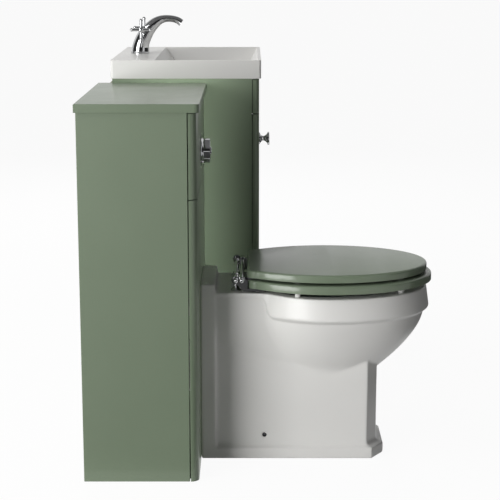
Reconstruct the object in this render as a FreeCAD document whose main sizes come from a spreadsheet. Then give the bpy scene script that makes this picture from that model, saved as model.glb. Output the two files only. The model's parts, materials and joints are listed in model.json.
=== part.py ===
"""Combination vanity and toilet unit: a WC cabinet with a concealed cistern, a back-to-wall pan with seat
and lid, and a vanity cabinet with an inset basin and a mixer tap, bolted side by side.

Millimetres. +X runs to the right, the front faces -Y and +Z is up. Each sub-part is drawn from the line
where the two cabinets meet at the wall and on the floor, with d measured forward from the wall, and its
Placement then moves it so that the origin is under the middle of the whole unit.
"""
import FreeCAD, Part
import math
import os
import Sketcher

Vector = FreeCAD.Vector

# Driving dimensions, in millimetres, degrees or counts.
DIMENSIONS = {
    # WC cabinet
    "wc_width": 500, "wc_height": 821, "wc_depth": 260, "board": 18,
    "worktop_side_lap": 4, "worktop_front_lap": 6, "worktop_corner": 12, "worktop_edge": 2,
    "reveal": 2, "panel_round": 12, "access_height": 180, "rail_height": 70, "wc_wall_gap": 4,
    # vanity cabinet
    "vanity_width": 500, "vanity_height": 874, "basin_depth": 361, "stand_off": 30,
    "basin_lap_side": 4, "basin_lap_front": 4.5, "door_board": 16, "door_gap": 1.5, "fascia_height": 82,
    "door_floor_gap": 6, "plinth_rise": 60, "shelf_height": 430, "shelf_set_back": 40,
    "batten_height": 60,
    # basin
    "basin_edge": 43.5, "basin_wall": 11, "deck_depth": 105, "basin_rim": 8, "bowl_depth": 112,
    "bowl_back_run": 94, "bowl_front_run": 58, "bowl_side_run": 147, "tap_set_back": 53,
    "tap_hole": 35, "waste_hole": 45, "basin_corner": 6,
    # tap
    "flange_diameter": 47, "flange_height": 7, "arm_height": 62, "arm_forward": 7, "handle_spread": 55,
    "arm_diameter": 17, "spout_rise": 88, "spout_reach": 106,
    "cross_radius": 28, "cross_ball": 9, "cross_arm": 7, "handle_hub": 15, "handle_length": 17,
    "shank_length": 45, "spindle": 8,
    # flush control
    "button_height": 691, "bezel_plate": 76, "bezel_flare": 5, "bezel_barrel": 56, "bezel_reach": 21,
    "bezel_wall": 4, "half_button": 18, "button_travel": 5, "half_button_rise": 2.7, "bezel_stem": 40,
    "stem_length": 42, "nut_thick": 6,
    # cistern
    "tank_width": 380, "tank_depth": 128, "tank_floor": 440, "tank_height": 316, "tank_wall": 4,
    "flush_pipe": 40, "pipe_wall": 2.5, "flush_drop": 58, "valve_lift": 20, "float_travel": 40,
    # pan
    "pan_height": 388, "rim_half": 178, "rim_reach": 519, "rim_band": 49, "rim_flare": 7, "rim_step": 7,
    "widest": 540, "flange_half": 100.5, "flange_depth": 34, "flange_rise": 18, "column_half": 93,
    "column_front": 653, "column_chamfer": 24, "plinth_front": 670, "plinth_height": 25, "cove": 12,
    "ledge_drop": 26, "ledge_place": 392, "ledge_half": 113,
    "lip": 7, "lip_proud": 3, "swell_out": 190, "swell_in": 35, "band_start": 386, "band_full": 415,
    "bowl_wall": 24, "outlet_height": 190, "outlet_bore": 90,
    "pan_shell": 13, "soil_pipe": 110, "fixing_hole": 9, "fixing_height": 54, "fixing_place": 397,
    "sump_height": 150,
    # seat and lid
    "seat_reach": 523, "seat_half": 179, "seat_thick": 18, "seat_rise": 12.5, "seat_back": 360,
    "lid_inset": 11, "lid_thick": 17, "lid_gap": 5.5, "seat_round": 5, "hole_half": 112, "hole_back": 420,
    "hole_front": 700, "seat_back_half": 122, "hinge_place": 333, "hinge_rise": 32, "hinge_rod": 9,
    "bar_step": 13, "bar_overhang": 40.5,
    "hinge_spread": 155, "pillar_base": 24, "finial": 12, "arm_thick": 6,
    # door furniture
    "knob_base": 28, "knob_waist": 11.5, "knob_face": 32, "knob_length": 25, "knob_height": 682,
    "knob_inset": 40, "hinge_pin": 2.4, "hinge_wall": 1.2, "hinge_inset": 90, "hinge_leaf": 54,
    "leaf_width": 16, "shelf_pin": 5,
    # waste
    "waste_tail": 60, "trap_diameter": 60, "trap_drop": 120, "trap_pipe": 32,
    # joints between pieces
    "run_clear": 0.3, "pin_clear": 0.05, "bolt_diameter": 8, "wall_screw": 6, "wall_screw_spread": 300,
}


class Size(float):
    """A number that keeps the sheet expression it was worked out from."""

    def __new__(cls, value, text=None):
        made = super().__new__(cls, value)
        made.text = text or "(%r)" % float(value)
        return made

    @staticmethod
    def of(value):
        return value if isinstance(value, Size) else Size(value)

    def combine(self, other, sign, result):
        return Size(result, "(%s %s %s)" % (self.text, sign, Size.of(other).text))

    def __add__(self, other):
        return self.combine(other, "+", float(self) + float(other))

    def __sub__(self, other):
        return self.combine(other, "-", float(self) - float(other))

    def __mul__(self, other):
        return self.combine(other, "*", float(self) * float(other))

    def __truediv__(self, other):
        return self.combine(other, "/", float(self) / float(other))

    def __radd__(self, other):
        return Size.of(other) + self

    def __rsub__(self, other):
        return Size.of(other) - self

    def __rmul__(self, other):
        return Size.of(other) * self

    def __rtruediv__(self, other):
        return Size.of(other) / self

    def __neg__(self):
        return Size(-float(self), "(0 - %s)" % self.text)


class Sheet:
    """The spreadsheet of driving dimensions, read by name."""

    def __init__(self, document, dimensions):
        self.cells = document.addObject("Spreadsheet::Sheet", "Sizes")
        for row, (name, value) in enumerate(dimensions.items(), start=1):
            self.cells.set("A%d" % row, name)
            self.cells.set("B%d" % row, str(value))
            self.cells.setAlias("B%d" % row, name)
        document.recompute()

    def __getattr__(self, name):
        return Size(float(self.cells.get(name)), "Sizes.%s" % name)


doc = FreeCAD.newDocument("vanity_toilet_unit")
S = Sheet(doc, DIMENSIONS)
parts = []

# Places that several pieces share.
PANEL_FRONT = S.wc_depth - S.worktop_front_lap
PANEL_BACK = PANEL_FRONT - S.board
WC_FRONT = PANEL_BACK - S.reveal
WC_TOP = S.wc_height - S.board
WC_LEFT = S.worktop_side_lap - S.wc_width
SEAT_TIP = PANEL_FRONT + S.seat_reach
WALL = SEAT_TIP / 2
PAN_X = -S.wc_width / 2
RIM_TIP = PANEL_FRONT + S.rim_reach
BASIN_BACK = S.stand_off
BASIN_FRONT = S.stand_off + S.basin_depth
DOOR_FRONT = BASIN_FRONT - S.basin_lap_front
DOOR_BACK = DOOR_FRONT - S.door_board
VANITY_FRONT = DOOR_BACK - S.door_gap
VANITY_BACK = S.stand_off + S.basin_lap_side
VANITY_RIGHT = S.vanity_width - S.basin_lap_side
VANITY_TOP = S.vanity_height - S.basin_edge
FASCIA_FOOT = VANITY_TOP - S.reveal - S.fascia_height
FLUSH_HEIGHT = S.pan_height - S.flush_drop
HINGE_HEIGHT = S.pan_height + S.hinge_rise


UP = Vector(0, 0, 1)
RIGHT = Vector(1, 0, 0)
LEFT = Vector(-1, 0, 0)
FRONT = Vector(0, -1, 0)
BACK = Vector(0, 1, 0)
DOWN = Vector(0, 0, -1)


def place(made, label, x, d, z):
    """Label a sub-part and set it x to the right of the joint line, d from the wall and z off the floor."""
    made.Label = label
    made.setExpression("Placement.Base.x", Size.of(x).text)
    made.setExpression("Placement.Base.y", (WALL - d).text)
    made.setExpression("Placement.Base.z", Size.of(z).text)
    return made


def keep(made):
    """Count an object as a finished sub-part."""
    parts.append(made)
    return made


def point(x, d, z):
    """A point in the part's frame."""
    return Vector(x, WALL - d, z)


def block(label, x, d, z):
    """A board or block between pairs of limits across, from the wall and up."""
    made = doc.addObject("Part::Box", label)
    made.setExpression("Length", (Size.of(x[1]) - x[0]).text)
    made.setExpression("Width", (Size.of(d[1]) - d[0]).text)
    made.setExpression("Height", (Size.of(z[1]) - z[0]).text)
    return place(made, label, x[0], Size.of(d[1]), z[0])


def rod(label, at, toward, radius, length):
    """A plain round bar from a point in one direction."""
    made = doc.addObject("Part::Cylinder", label)
    made.setExpression("Radius", Size.of(radius).text)
    made.setExpression("Height", Size.of(length).text)
    made.Placement.Rotation = FreeCAD.Rotation(UP, toward)
    return place(made, label, *at)


def joined(label, pieces):
    """Pieces fused into one."""
    made = doc.addObject("Part::MultiFuse", label)
    made.Shapes = pieces
    made.Label = label
    return made


def cut(label, base, tools):
    """A piece with one or more tools taken out of it."""
    made = doc.addObject("Part::Cut", label)
    made.Base = base
    made.Tool = tools[0] if len(tools) == 1 else joined(label + "_cuts", tools)
    made.Label = label
    return made


def fixed(label, shape):
    """A sub-part whose shape is worked out from the sheet in the part's frame."""
    made = doc.addObject("Part::Feature", label)
    made.Shape = shape
    made.Label = label
    return made


def draw_edge(start, end, radius):
    """The sketch geometry from start to end, and whether it runs backwards: a line, or an arc that turns
    left for a positive radius and right for a negative one."""
    first = Vector(start[0], start[1], 0)
    last = Vector(end[0], end[1], 0)
    if radius is None:
        return Part.LineSegment(first, last), False
    if radius < 0:
        first, last = last, first
    chord = last - first
    left = Vector(-chord.y, chord.x, 0).normalize()
    rise = math.sqrt(max(radius ** 2 - (chord.Length / 2) ** 2, 0))
    centre = (first + last) / 2 + left * rise
    begin = math.atan2(first.y - centre.y, first.x - centre.x)
    finish = math.atan2(last.y - centre.y, last.x - centre.x)
    circle = Part.Circle(centre, UP, abs(radius))
    return Part.ArcOfCircle(circle, begin, finish if finish > begin else finish + 2 * math.pi), radius < 0


def sketch(body, role, outline, holes=(), lift=0):
    """A constrained sketch on one of the body's own planes. Each outline point is (u, v), or (u, v, radius)
    where an arc arrives at it, and each hole is (u, v, radius)."""
    made = body.newObject("Sketcher::SketchObject", body.Name + "_sketch")
    plane = [item for item in body.Origin.OriginFeatures if item.Role == role][0]
    made.AttachmentSupport = [(plane, "")]
    made.MapMode = "FlatFace"
    made.setExpression("AttachmentOffset.Base.z", Size.of(lift).text)
    ends = []
    radii = []
    for number, corner in enumerate(outline):
        following = outline[(number + 1) % len(outline)]
        radius = following[2] if len(following) == 3 else None
        edge, backwards = draw_edge(corner, following, radius)
        made.addGeometry(edge)
        ends.append((2, 1) if backwards else (1, 2))
        radii.append(radius)
    for number, corner in enumerate(outline):
        following = (number + 1) % len(outline)
        made.addConstraint(Sketcher.Constraint("Coincident", number, ends[number][1], following,
            ends[following][0]))
        for kind, value in (("DistanceX", corner[0]), ("DistanceY", corner[1])):
            bind(made, Sketcher.Constraint(kind, -1, 1, number, ends[number][0], float(value)), value)
        if radii[number] is not None:
            size = radii[number] if radii[number] > 0 else -radii[number]
            bind(made, Sketcher.Constraint("Radius", number, float(size)), size)
    for u, v, radius in holes:
        number = made.addGeometry(Part.Circle(Vector(u, v, 0), UP, float(radius)))
        bind(made, Sketcher.Constraint("DistanceX", -1, 1, number, 3, float(u)), u)
        bind(made, Sketcher.Constraint("DistanceY", -1, 1, number, 3, float(v)), v)
        bind(made, Sketcher.Constraint("Radius", number, float(radius)), radius)
    return made


def bind(made, constraint, value):
    """Add a sketch constraint and tie it to the sheet."""
    number = made.addConstraint(constraint)
    made.setExpression("Constraints[%d]" % number, Size.of(value).text)


def prism(label, role, outline, length, at, holes=(), rounds=()):
    """A padded sketch: up from XY_Plane, forward from XZ_Plane or right from YZ_Plane. Each round is a radius
    and a test that picks its edges."""
    body = doc.addObject("PartDesign::Body", label)
    profile = sketch(body, role, outline, holes)
    pad = body.newObject("PartDesign::Pad", label + "_pad")
    pad.Profile = profile
    pad.setExpression("Length", Size.of(length).text)
    body.Tip = pad
    for radius, wanted in rounds:
        round_edges(body, radius, wanted)
    return place(body, label, *at)


def round_edges(body, radius, wanted):
    """Fillet the edges of a body that a test picks."""
    doc.recompute()
    base = body.Tip
    fillet = body.newObject("PartDesign::Fillet", body.Name + "_round")
    fillet.Base = (base, ["Edge%d" % n for n, edge in enumerate(base.Shape.Edges, 1) if wanted(edge)])
    fillet.setExpression("Radius", Size.of(radius).text)
    body.Tip = fillet


def turned(label, outline, at, toward=UP, angle=360):
    """A revolved sketch of (radius, height) points, with its axis along toward."""
    body = doc.addObject("PartDesign::Body", label)
    profile = sketch(body, "XZ_Plane", outline)
    turn = body.newObject("PartDesign::Revolution", label + "_turn")
    turn.Profile = profile
    turn.ReferenceAxis = (profile, ["V_Axis"])
    turn.Angle = angle
    body.Tip = turn
    body.Placement.Rotation = FreeCAD.Rotation(UP, toward)
    return place(body, label, *at)


def dome(radius, rise):
    """The radius of a ball cap of one base radius and height."""
    return (radius * radius + rise * rise) / (rise * 2)


def group(label, pattern, places):
    """Identical pieces in one node: copies of a pattern drawn at the joint line, set at each place."""
    doc.recompute()
    copies = []
    for x, d, z in places:
        copy = pattern.Shape.copy()
        copy.translate(point(x, d, z))
        copies.append(copy)
    return fixed(label, Part.makeCompound(copies))


AT_ORIGIN = (0, WALL, 0)


def bent_wire(points, bend):
    """A path of straight runs with an arc of one radius at each corner."""
    edges = []
    start = points[0]
    for before, corner, after in zip(points, points[1:], points[2:]):
        inward = (before - corner).normalize()
        outward = (after - corner).normalize()
        half = inward.getAngle(outward) / 2
        reach = bend / math.tan(half)
        middle = corner + (inward + outward).normalize() * (bend / math.sin(half) - bend)
        first = corner + inward * reach
        last = corner + outward * reach
        edges.append(Part.LineSegment(start, first).toShape())
        edges.append(Part.Arc(first, middle, last).toShape())
        start = last
    edges.append(Part.LineSegment(start, points[-1]).toShape())
    return Part.Wire(edges)


def tube(points, bend, radius, bore=None):
    """A round bar or pipe along a bent path."""
    path = bent_wire(points, bend)
    along = points[1] - points[0]
    solids = []
    for size in (radius, bore):
        if size is not None:
            ring = Part.Wire(Part.Circle(points[0], along, float(size)).toShape())
            solids.append(path.makePipeShell([ring], True, False))
    return solids[0] if bore is None else solids[0].cut(solids[1])


def egg(half, back_half, back, widest, tip, height, corner=0):
    """A closed outline like a toilet rim's: a straight back edge, flanks that swell to the widest place and
    an elliptical nose, with the back corners rounded on request."""
    run = widest - back - corner
    swell = half - back_half
    flank = (run ** 2 + swell ** 2) / (2 * swell)
    nose = Part.Ellipse(point(PAN_X, widest, height), tip - widest, half)
    nose.Axis = UP
    nose.XAxis = FRONT
    edges = [Part.ArcOfEllipse(nose, -math.pi / 2, math.pi / 2).toShape()]
    lean = math.asin(run / (2 * flank))
    for side in (1, -1):
        wide = point(PAN_X + side * half, widest, height)
        end = point(PAN_X + side * back_half, back + corner, height)
        turn = side * (half - flank * (1 - math.cos(lean)))
        middle = point(PAN_X + turn, widest - flank * math.sin(lean), height)
        edges.append(Part.Arc(wide, middle, end).toShape())
        if corner:
            inner = point(PAN_X + side * (back_half - corner), back, height)
            reach = corner * (1 - math.sqrt(0.5))
            bulge = point(PAN_X + side * (back_half - reach), back + reach, height)
            edges.append(Part.Arc(end, bulge, inner).toShape())
    near = back_half - corner
    edges.append(Part.LineSegment(point(PAN_X - near, back, height), point(PAN_X + near, back,
        height)).toShape())
    return Part.Wire(Part.__sortEdges__(edges))


def polygon(corners, height):
    """A closed level outline through (x, d) corners."""
    return Part.makePolygon([point(x, d, height) for x, d in corners + corners[:1]])


def extruded(wire, rise):
    """A solid of a level outline, raised."""
    return Part.Face(wire).extrude(UP * float(rise))


def upright(edge):
    """True for an edge that stands straight up."""
    ends = [vertex.Point for vertex in edge.Vertexes]
    return len(ends) == 2 and abs((ends[1] - ends[0]).normalize().z) > 0.999


def level_at(height):
    """A test for edges that lie level at one height of the body itself."""
    def wanted(edge):
        box = edge.BoundBox
        return abs(box.ZMin - height) < 0.01 and abs(box.ZMax - height) < 0.01
    return wanted


def together(label, pieces):
    """Separate solids that share one node."""
    made = doc.addObject("Part::Compound", label)
    made.Links = pieces
    made.Label = label
    return made


# WC cabinet
SPLIT = WC_TOP - S.reveal - S.access_height
WC_INSIDE = (WC_LEFT + S.board, -S.board)
RAIL_BACK = (S.wc_wall_gap, S.wc_wall_gap + S.board)
RAIL_FRONT = (PANEL_BACK - S.board, PANEL_BACK)
TANK_BACK = S.wc_wall_gap + S.board
BOLT_PLACES = [(d, z) for z in (S.wc_height / 6, S.wc_height * 5 / 6) for d in (S.wc_depth / 3,
    S.wc_depth * 2 / 3)]
BOLT_HOLE = S.bolt_diameter / 2 + S.pin_clear


def bolt_holes(label, start):
    """Drillings for the connector bolts through a side board."""
    return [
        rod("%s_hole%d" % (label, number), (start, d, z), RIGHT, BOLT_HOLE, S.board)
        for number, (d, z) in enumerate(BOLT_PLACES)
    ]


def wall_holes(label, middle, height, depth):
    """Two screw holes through a rail to the wall behind it."""
    length = Size.of(depth[1]) - depth[0]
    return [
        rod("%s_wall_hole%d" % (label, side), (middle + S.wall_screw_spread * side / 2, depth[1], height),
        BACK,
            S.wall_screw / 2, length)
        for side in (-1, 1)
    ]


def wc_cabinet():
    side_d = (S.wc_wall_gap, WC_FRONT)
    keep(block("wc_left_side", (WC_LEFT, WC_LEFT + S.board), side_d, (0, WC_TOP)))
    right = block("wc_right_board", (-S.board, 0), side_d, (0, WC_TOP))
    keep(cut("wc_right_side", right, bolt_holes("wc_right", -S.board)))
    top = (WC_TOP - S.rail_height, WC_TOP)
    low = (S.tank_floor - S.rail_height, S.tank_floor)
    rail = block("wc_back_rail_blank", WC_INSIDE, RAIL_BACK, top)
    keep(together("wc_back_rails", [
        cut("wc_back_rail_top", rail, wall_holes("wc", PAN_X, WC_TOP - S.rail_height / 2, RAIL_BACK)),
        block("wc_back_rail_low", WC_INSIDE, RAIL_BACK, low),
    ]))
    middle = (SPLIT - S.rail_height / 2, SPLIT + S.rail_height / 2)
    keep(together("wc_front_rails", [
        block("wc_front_rail_top", WC_INSIDE, RAIL_FRONT, top),
        block("wc_front_rail_middle", WC_INSIDE, RAIL_FRONT, middle),
        block("wc_front_rail_low", WC_INSIDE, RAIL_FRONT, (0, S.rail_height)),
    ]))
    outlet = S.outlet_bore / 2 + S.pan_shell
    cone = S.flush_pipe / 2 + S.pan_shell
    lower_holes = [(PAN_X, S.outlet_height, outlet), (PAN_X, FLUSH_HEIGHT, cone)]
    keep(front_panel("wc_lower_panel", 0, SPLIT - S.reveal, lower_holes))
    stem = S.bezel_stem / 2 + S.run_clear
    keep(front_panel("wc_access_panel", SPLIT, WC_TOP - S.reveal, [(PAN_X, S.button_height, stem)]))
    keep(worktop())
    keep(connector_bolts())


def front_panel(label, foot, top, holes):
    """A front board with its upright outer edges rounded over."""
    left = WC_LEFT
    right = -S.reveal
    outline = [(left, foot), (right, foot), (right, top), (left, top)]

    def outer(edge):
        return upright(edge) and edge.BoundBox.YMax < -S.board / 2
    return prism(label, "XZ_Plane", outline, S.board, (0, PANEL_BACK, 0), holes, [(S.panel_round, outer)])


def worktop():
    outline = [(-S.wc_width, -S.wc_depth), (0, -S.wc_depth), (0, 0), (-S.wc_width, 0)]

    def front_left(edge):
        return upright(edge) and edge.BoundBox.YMax < -S.wc_depth / 2
    rounds = [(S.worktop_corner, front_left), (S.worktop_edge, level_at(S.board))]
    return prism("wc_worktop", "XY_Plane", outline, S.board, (0, 0, WC_TOP), (), rounds)


def connector_bolts():
    """Bolts with a flat head at each end that hold the two side boards together."""
    radius = S.bolt_diameter / 2
    head = S.bolt_diameter * 0.9
    cap = S.bolt_diameter * 0.35
    outline = [
        (0, -S.board - cap), (head, -S.board - cap), (head, -S.board), (radius, -S.board),
        (radius, S.board), (head, S.board), (head, S.board + cap), (0, S.board + cap),
    ]
    pattern = turned("connector_bolt", outline, AT_ORIGIN, RIGHT)
    return group("connector_bolts", pattern, [(0, d, z) for d, z in BOLT_PLACES])


# Flush control on the access panel
FLUSH_AT = (PAN_X, PANEL_FRONT, S.button_height)
STEM_WALL = S.bezel_wall
RING_FRONT = S.bezel_reach + 0.6
RING_BORE = S.half_button / 2 + S.run_clear
SLEEVE = S.bezel_stem / 2 - STEM_WALL
BUTTON_BACK = STEM_WALL + S.button_travel - S.stem_length


def flush_control():
    barrel = S.bezel_barrel / 2
    chamber = barrel - S.bezel_wall
    plate = S.bezel_plate / 2
    lip = 1.5
    nipple = 3
    outline = [
        (0, -S.stem_length - 10), (nipple, -S.stem_length - 10), (nipple, -S.stem_length),
        (S.bezel_stem / 2, -S.stem_length), (S.bezel_stem / 2, 0), (plate, 0), (plate, lip),
        (barrel, lip + S.bezel_flare, -S.bezel_flare * 2.2), (barrel, S.bezel_reach),
        (chamber, S.bezel_reach), (chamber, lip), (SLEEVE, lip), (SLEEVE, STEM_WALL - S.stem_length - 1),
        (0, STEM_WALL - S.stem_length - 1),
    ]
    keep(turned("button_bezel", outline, FLUSH_AT, FRONT))
    nut = [
        (S.bezel_stem / 2 + S.pin_clear, -S.board - S.nut_thick), (plate * 0.8, -S.board - S.nut_thick),
        (plate * 0.8, -S.board), (S.bezel_stem / 2 + S.pin_clear, -S.board),
    ]
    keep(turned("button_nut", nut, FLUSH_AT, FRONT))
    ring = chamber - S.run_clear
    sleeve = SLEEVE - S.run_clear
    face = lip + S.button_travel + 2
    rounding = 1.5
    ring_outline = [
        (RING_BORE, BUTTON_BACK), (sleeve, BUTTON_BACK), (sleeve, face), (ring, face),
        (ring, RING_FRONT - rounding), (ring - rounding, RING_FRONT, rounding), (RING_BORE, RING_FRONT),
    ]
    keep(turned("full_flush_button", ring_outline, FLUSH_AT, FRONT))
    half = S.half_button / 2
    top = RING_FRONT + S.half_button_rise
    half_outline = [
        (0, BUTTON_BACK), (half, BUTTON_BACK), (half, top - rounding), (half - rounding, top, rounding),
        (0, top),
    ]
    keep(turned("half_flush_button", half_outline, FLUSH_AT, FRONT))


# Concealed cistern
TANK_D = TANK_BACK + S.tank_depth / 2
VALVE_TOP = S.tank_height - 2 * S.flush_pipe
VALVE_FLANGE = 6
VALVE_RADIUS = S.flush_pipe * 0.85
TAIL = S.flush_pipe * 0.8
TAIL_BORE = S.flush_pipe / 2 + S.pin_clear
TAIL_RADIUS = TAIL_BORE + 5
FILL_X = PAN_X - S.tank_width / 3
FILL_COLUMN = S.tank_depth * 0.1
FILL_SHANK = FILL_COLUMN * 0.75


def cistern():
    keep(tank())
    keep(tank_cover())
    leg = 3
    reach = S.tank_depth * 0.8
    outline = [
        (0, -S.rail_height * 0.8), (-leg, -S.rail_height * 0.8), (-leg, -leg), (-reach, -leg), (-reach, 0),
        (0, 0),
    ]
    width = S.rail_height / 2
    pattern = prism("cistern_bracket", "YZ_Plane", outline, width, AT_ORIGIN)
    places = [(PAN_X + shift - width / 2, TANK_BACK, S.tank_floor) for shift in (-S.tank_width / 5,
        S.tank_width / 5)]
    keep(group("cistern_brackets", pattern, places))
    fill_valve()
    flush_valve()
    inlet = [
        point(PAN_X, TANK_D, S.tank_floor - TAIL * 0.2), point(PAN_X, TANK_D, FLUSH_HEIGHT),
        point(PAN_X, PANEL_FRONT + S.flange_depth / 2, FLUSH_HEIGHT),
    ]
    radius = S.flush_pipe / 2
    keep(fixed("flush_pipe", tube(inlet, S.flush_pipe, radius, radius - S.pipe_wall)))
    cone = [
        (radius, 0), (radius + S.pan_shell / 2, 0), (radius + S.pan_shell / 2, S.board),
        (radius + S.pan_shell / 4, S.board + S.flange_depth / 2), (radius, S.board + S.flange_depth / 2),
    ]
    keep(turned("flush_cone", cone, (PAN_X, PANEL_BACK, FLUSH_HEIGHT), FRONT))
    hose = 3
    nipple_end = PANEL_FRONT - S.stem_length - 10
    over = (WC_TOP + S.tank_floor + S.tank_height) / 2
    rise = (nipple_end + TANK_BACK + S.tank_depth) / 2
    route = [
        point(PAN_X, nipple_end, S.button_height), point(PAN_X, rise, S.button_height),
        point(PAN_X, rise, over),
        point(PAN_X, TANK_D, over), point(PAN_X, TANK_D, S.tank_floor + VALVE_TOP),
    ]
    keep(fixed("flush_air_hose", tube(route, 12, hose)))


def tank():
    half = S.tank_width / 2
    deep = S.tank_depth
    wall = S.tank_wall
    outline = [(-half, -deep), (half, -deep), (half, 0), (-half, 0)]
    at = (PAN_X, TANK_BACK, S.tank_floor)
    shell = prism("tank_shell", "XY_Plane", outline, S.tank_height, at, (), [(wall * 4, upright)])
    inner = [(wall - half, wall - deep), (half - wall, wall - deep), (half - wall, -wall),
        (wall - half, -wall)]
    room_at = (PAN_X, TANK_BACK, S.tank_floor + wall)
    room = prism("tank_room", "XY_Plane", inner, S.tank_height, room_at, (), [(wall * 3, upright)])
    tail = rod("tank_flush_hole", (PAN_X, TANK_D, S.tank_floor), UP, TAIL_RADIUS + S.run_clear, wall)
    shank = rod("tank_fill_hole", (FILL_X, TANK_D, S.tank_floor), UP, FILL_SHANK + S.run_clear, wall)
    return cut("cistern_tank", shell, [room, tail, shank])


def tank_cover():
    """A flat cover with a lip that sits inside the tank's rim."""
    half = S.tank_width / 2
    deep = S.tank_depth
    wall = S.tank_wall
    slack = wall + S.run_clear
    outline = [(-half, -deep), (half, -deep), (half, 0), (-half, 0)]
    top = S.tank_floor + S.tank_height
    at = (PAN_X, TANK_BACK, top)
    plate = prism("cover_plate", "XY_Plane", outline, wall, at, (), [(wall * 4, upright)])
    inner = [(slack - half, slack - deep), (half - slack, slack - deep), (half - slack, -slack),
        (slack - half, -slack)]
    lip = prism("cover_lip", "XY_Plane", inner, wall, (PAN_X, TANK_BACK, top - wall), (),
        [(wall * 3, upright)])
    hole = rod("cover_hole", (PAN_X, TANK_D, top - wall), UP, 5, wall * 2)
    return cut("cistern_cover", joined("cover_blank", [plate, lip]), [hole])


def fill_valve():
    at = (FILL_X, TANK_D, S.tank_floor + S.tank_wall)
    rise = S.tank_height * 0.75
    nut = FILL_COLUMN * 1.5
    nut_foot = -S.tank_wall - FILL_SHANK
    outline = [
        (0, -FILL_COLUMN * 4), (FILL_SHANK, -FILL_COLUMN * 4), (FILL_SHANK, nut_foot), (nut, nut_foot),
        (nut, -S.tank_wall), (FILL_SHANK, -S.tank_wall), (FILL_SHANK, 0), (nut, 0), (nut, FILL_SHANK),
        (FILL_COLUMN, FILL_SHANK), (FILL_COLUMN, rise), (nut, rise), (nut, rise + FILL_COLUMN * 2),
        (0, rise + FILL_COLUMN * 2),
    ]
    keep(turned("fill_valve", outline, at))
    inner = FILL_COLUMN + S.pin_clear
    outer = FILL_COLUMN * 2.2
    foot = rise - S.float_travel - FILL_COLUMN * 4
    float_outline = [(inner, foot), (outer, foot), (outer, rise - S.float_travel),
        (inner, rise - S.float_travel)]
    keep(turned("fill_valve_float", float_outline, at))


def flush_valve():
    at = (PAN_X, TANK_D, S.tank_floor + S.tank_wall)
    top = VALVE_TOP - S.tank_wall
    wall = 3
    foot = -S.tank_wall - TAIL
    flange = VALVE_RADIUS + 5
    outline = [
        (TAIL_BORE, foot), (TAIL_RADIUS, foot), (TAIL_RADIUS, 0), (flange, 0), (flange, VALVE_FLANGE),
        (VALVE_RADIUS, VALVE_FLANGE), (VALVE_RADIUS, top), (0, top), (0, top - wall),
        (VALVE_RADIUS - wall, top - wall), (VALVE_RADIUS - wall, VALVE_FLANGE), (TAIL_BORE, VALVE_FLANGE),
    ]
    keep(turned("flush_valve_body", outline, at))
    disc = VALVE_RADIUS - wall - S.run_clear
    seat = 3
    stem = S.flush_pipe / 8
    stem_top = top - wall - S.valve_lift - seat
    plunger = [
        (0, VALVE_FLANGE + seat), (disc, VALVE_FLANGE + seat), (disc, VALVE_FLANGE + seat * 3),
        (stem, VALVE_FLANGE + seat * 5), (stem, stem_top), (0, stem_top),
    ]
    keep(turned("flush_plunger", plunger, at))
    seal = [(0, VALVE_FLANGE), (disc, VALVE_FLANGE), (disc, VALVE_FLANGE + seat), (0, VALVE_FLANGE + seat)]
    keep(turned("flush_seal", seal, at))


# Pan
RIM_FOOT = S.pan_height - S.rim_band
STEP_FOOT = RIM_FOOT - S.rim_step
STEP_INSET = S.rim_flare * 1.4
FLANGE_FRONT = PANEL_FRONT + S.flange_depth
LEDGE_FOOT = S.pan_height - S.ledge_drop
LEDGE_FRONT = S.ledge_place
LIP_FOOT = S.pan_height - S.lip
BODY_BACK = FLANGE_FRONT - S.lip
BODY_INSET = STEP_INSET + 2
SPIGOT = S.outlet_bore / 2 + S.pan_shell * 0.6
SPIGOT_BACK = PANEL_BACK - S.flange_depth * 0.7
HINGE_STUD = S.hinge_rod * 0.45
INLET = S.flush_pipe / 2 + S.pan_shell / 2 + S.run_clear


def cylinder(start, toward, radius, length):
    """A plain round solid in the part's frame."""
    return Part.makeCylinder(float(radius), float(length), start, toward)


def column_outline(half, front, chamfer):
    """Half width, front and corner chamfer of the pan's foot, seen from above."""
    back = PANEL_FRONT
    narrow = half - chamfer * 1.5
    return [
        (PAN_X - half, back), (PAN_X - half, front - chamfer), (PAN_X - narrow, front),
        (PAN_X + narrow, front), (PAN_X + half, front - chamfer), (PAN_X + half, back),
    ]


def pan_plan(half, neck, tip, height):
    """The pan's outline at one height: straight from the flange along the ledge, then an S-curve out to the
    widest place and an elliptical nose."""
    back_half = neck - S.lip_proud * 4
    swing = S.swell_out + S.swell_in
    start = S.widest - math.sqrt(swing ** 2 - (swing - (half - neck)) ** 2)
    nose = Part.Ellipse(point(PAN_X, S.widest, height), tip - S.widest, half)
    nose.Axis = UP
    nose.XAxis = FRONT
    edges = [Part.ArcOfEllipse(nose, -math.pi / 2, math.pi / 2).toShape()]
    turn = math.acos((swing - (half - neck)) / swing)
    for side in (1, -1):
        def along(angle, radius, centre_x, centre_d, way):
            x = centre_x + way * radius * math.cos(angle)
            return point(PAN_X + side * x, centre_d - way * radius * math.sin(angle), height)

        outer = [along(turn * share, S.swell_out, half - S.swell_out, S.widest, 1) for share in (0, 0.5, 1)]
        inner = [along(turn * share, S.swell_in, neck + S.swell_in, start, -1) for share in (1, 0.5, 0)]
        edges.append(Part.Arc(*outer).toShape())
        edges.append(Part.Arc(*inner).toShape())
        foot = point(PAN_X + side * back_half, BODY_BACK, height)
        edges.append(Part.LineSegment(inner[2], foot).toShape())
    across = [point(PAN_X + side * back_half, BODY_BACK, height) for side in (-1, 1)]
    edges.append(Part.LineSegment(*across).toShape())
    return Part.Wire(Part.__sortEdges__(edges))


def rim_plan(height, inset):
    return pan_plan(S.rim_half + inset, S.ledge_half, RIM_TIP + inset, height)


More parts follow.
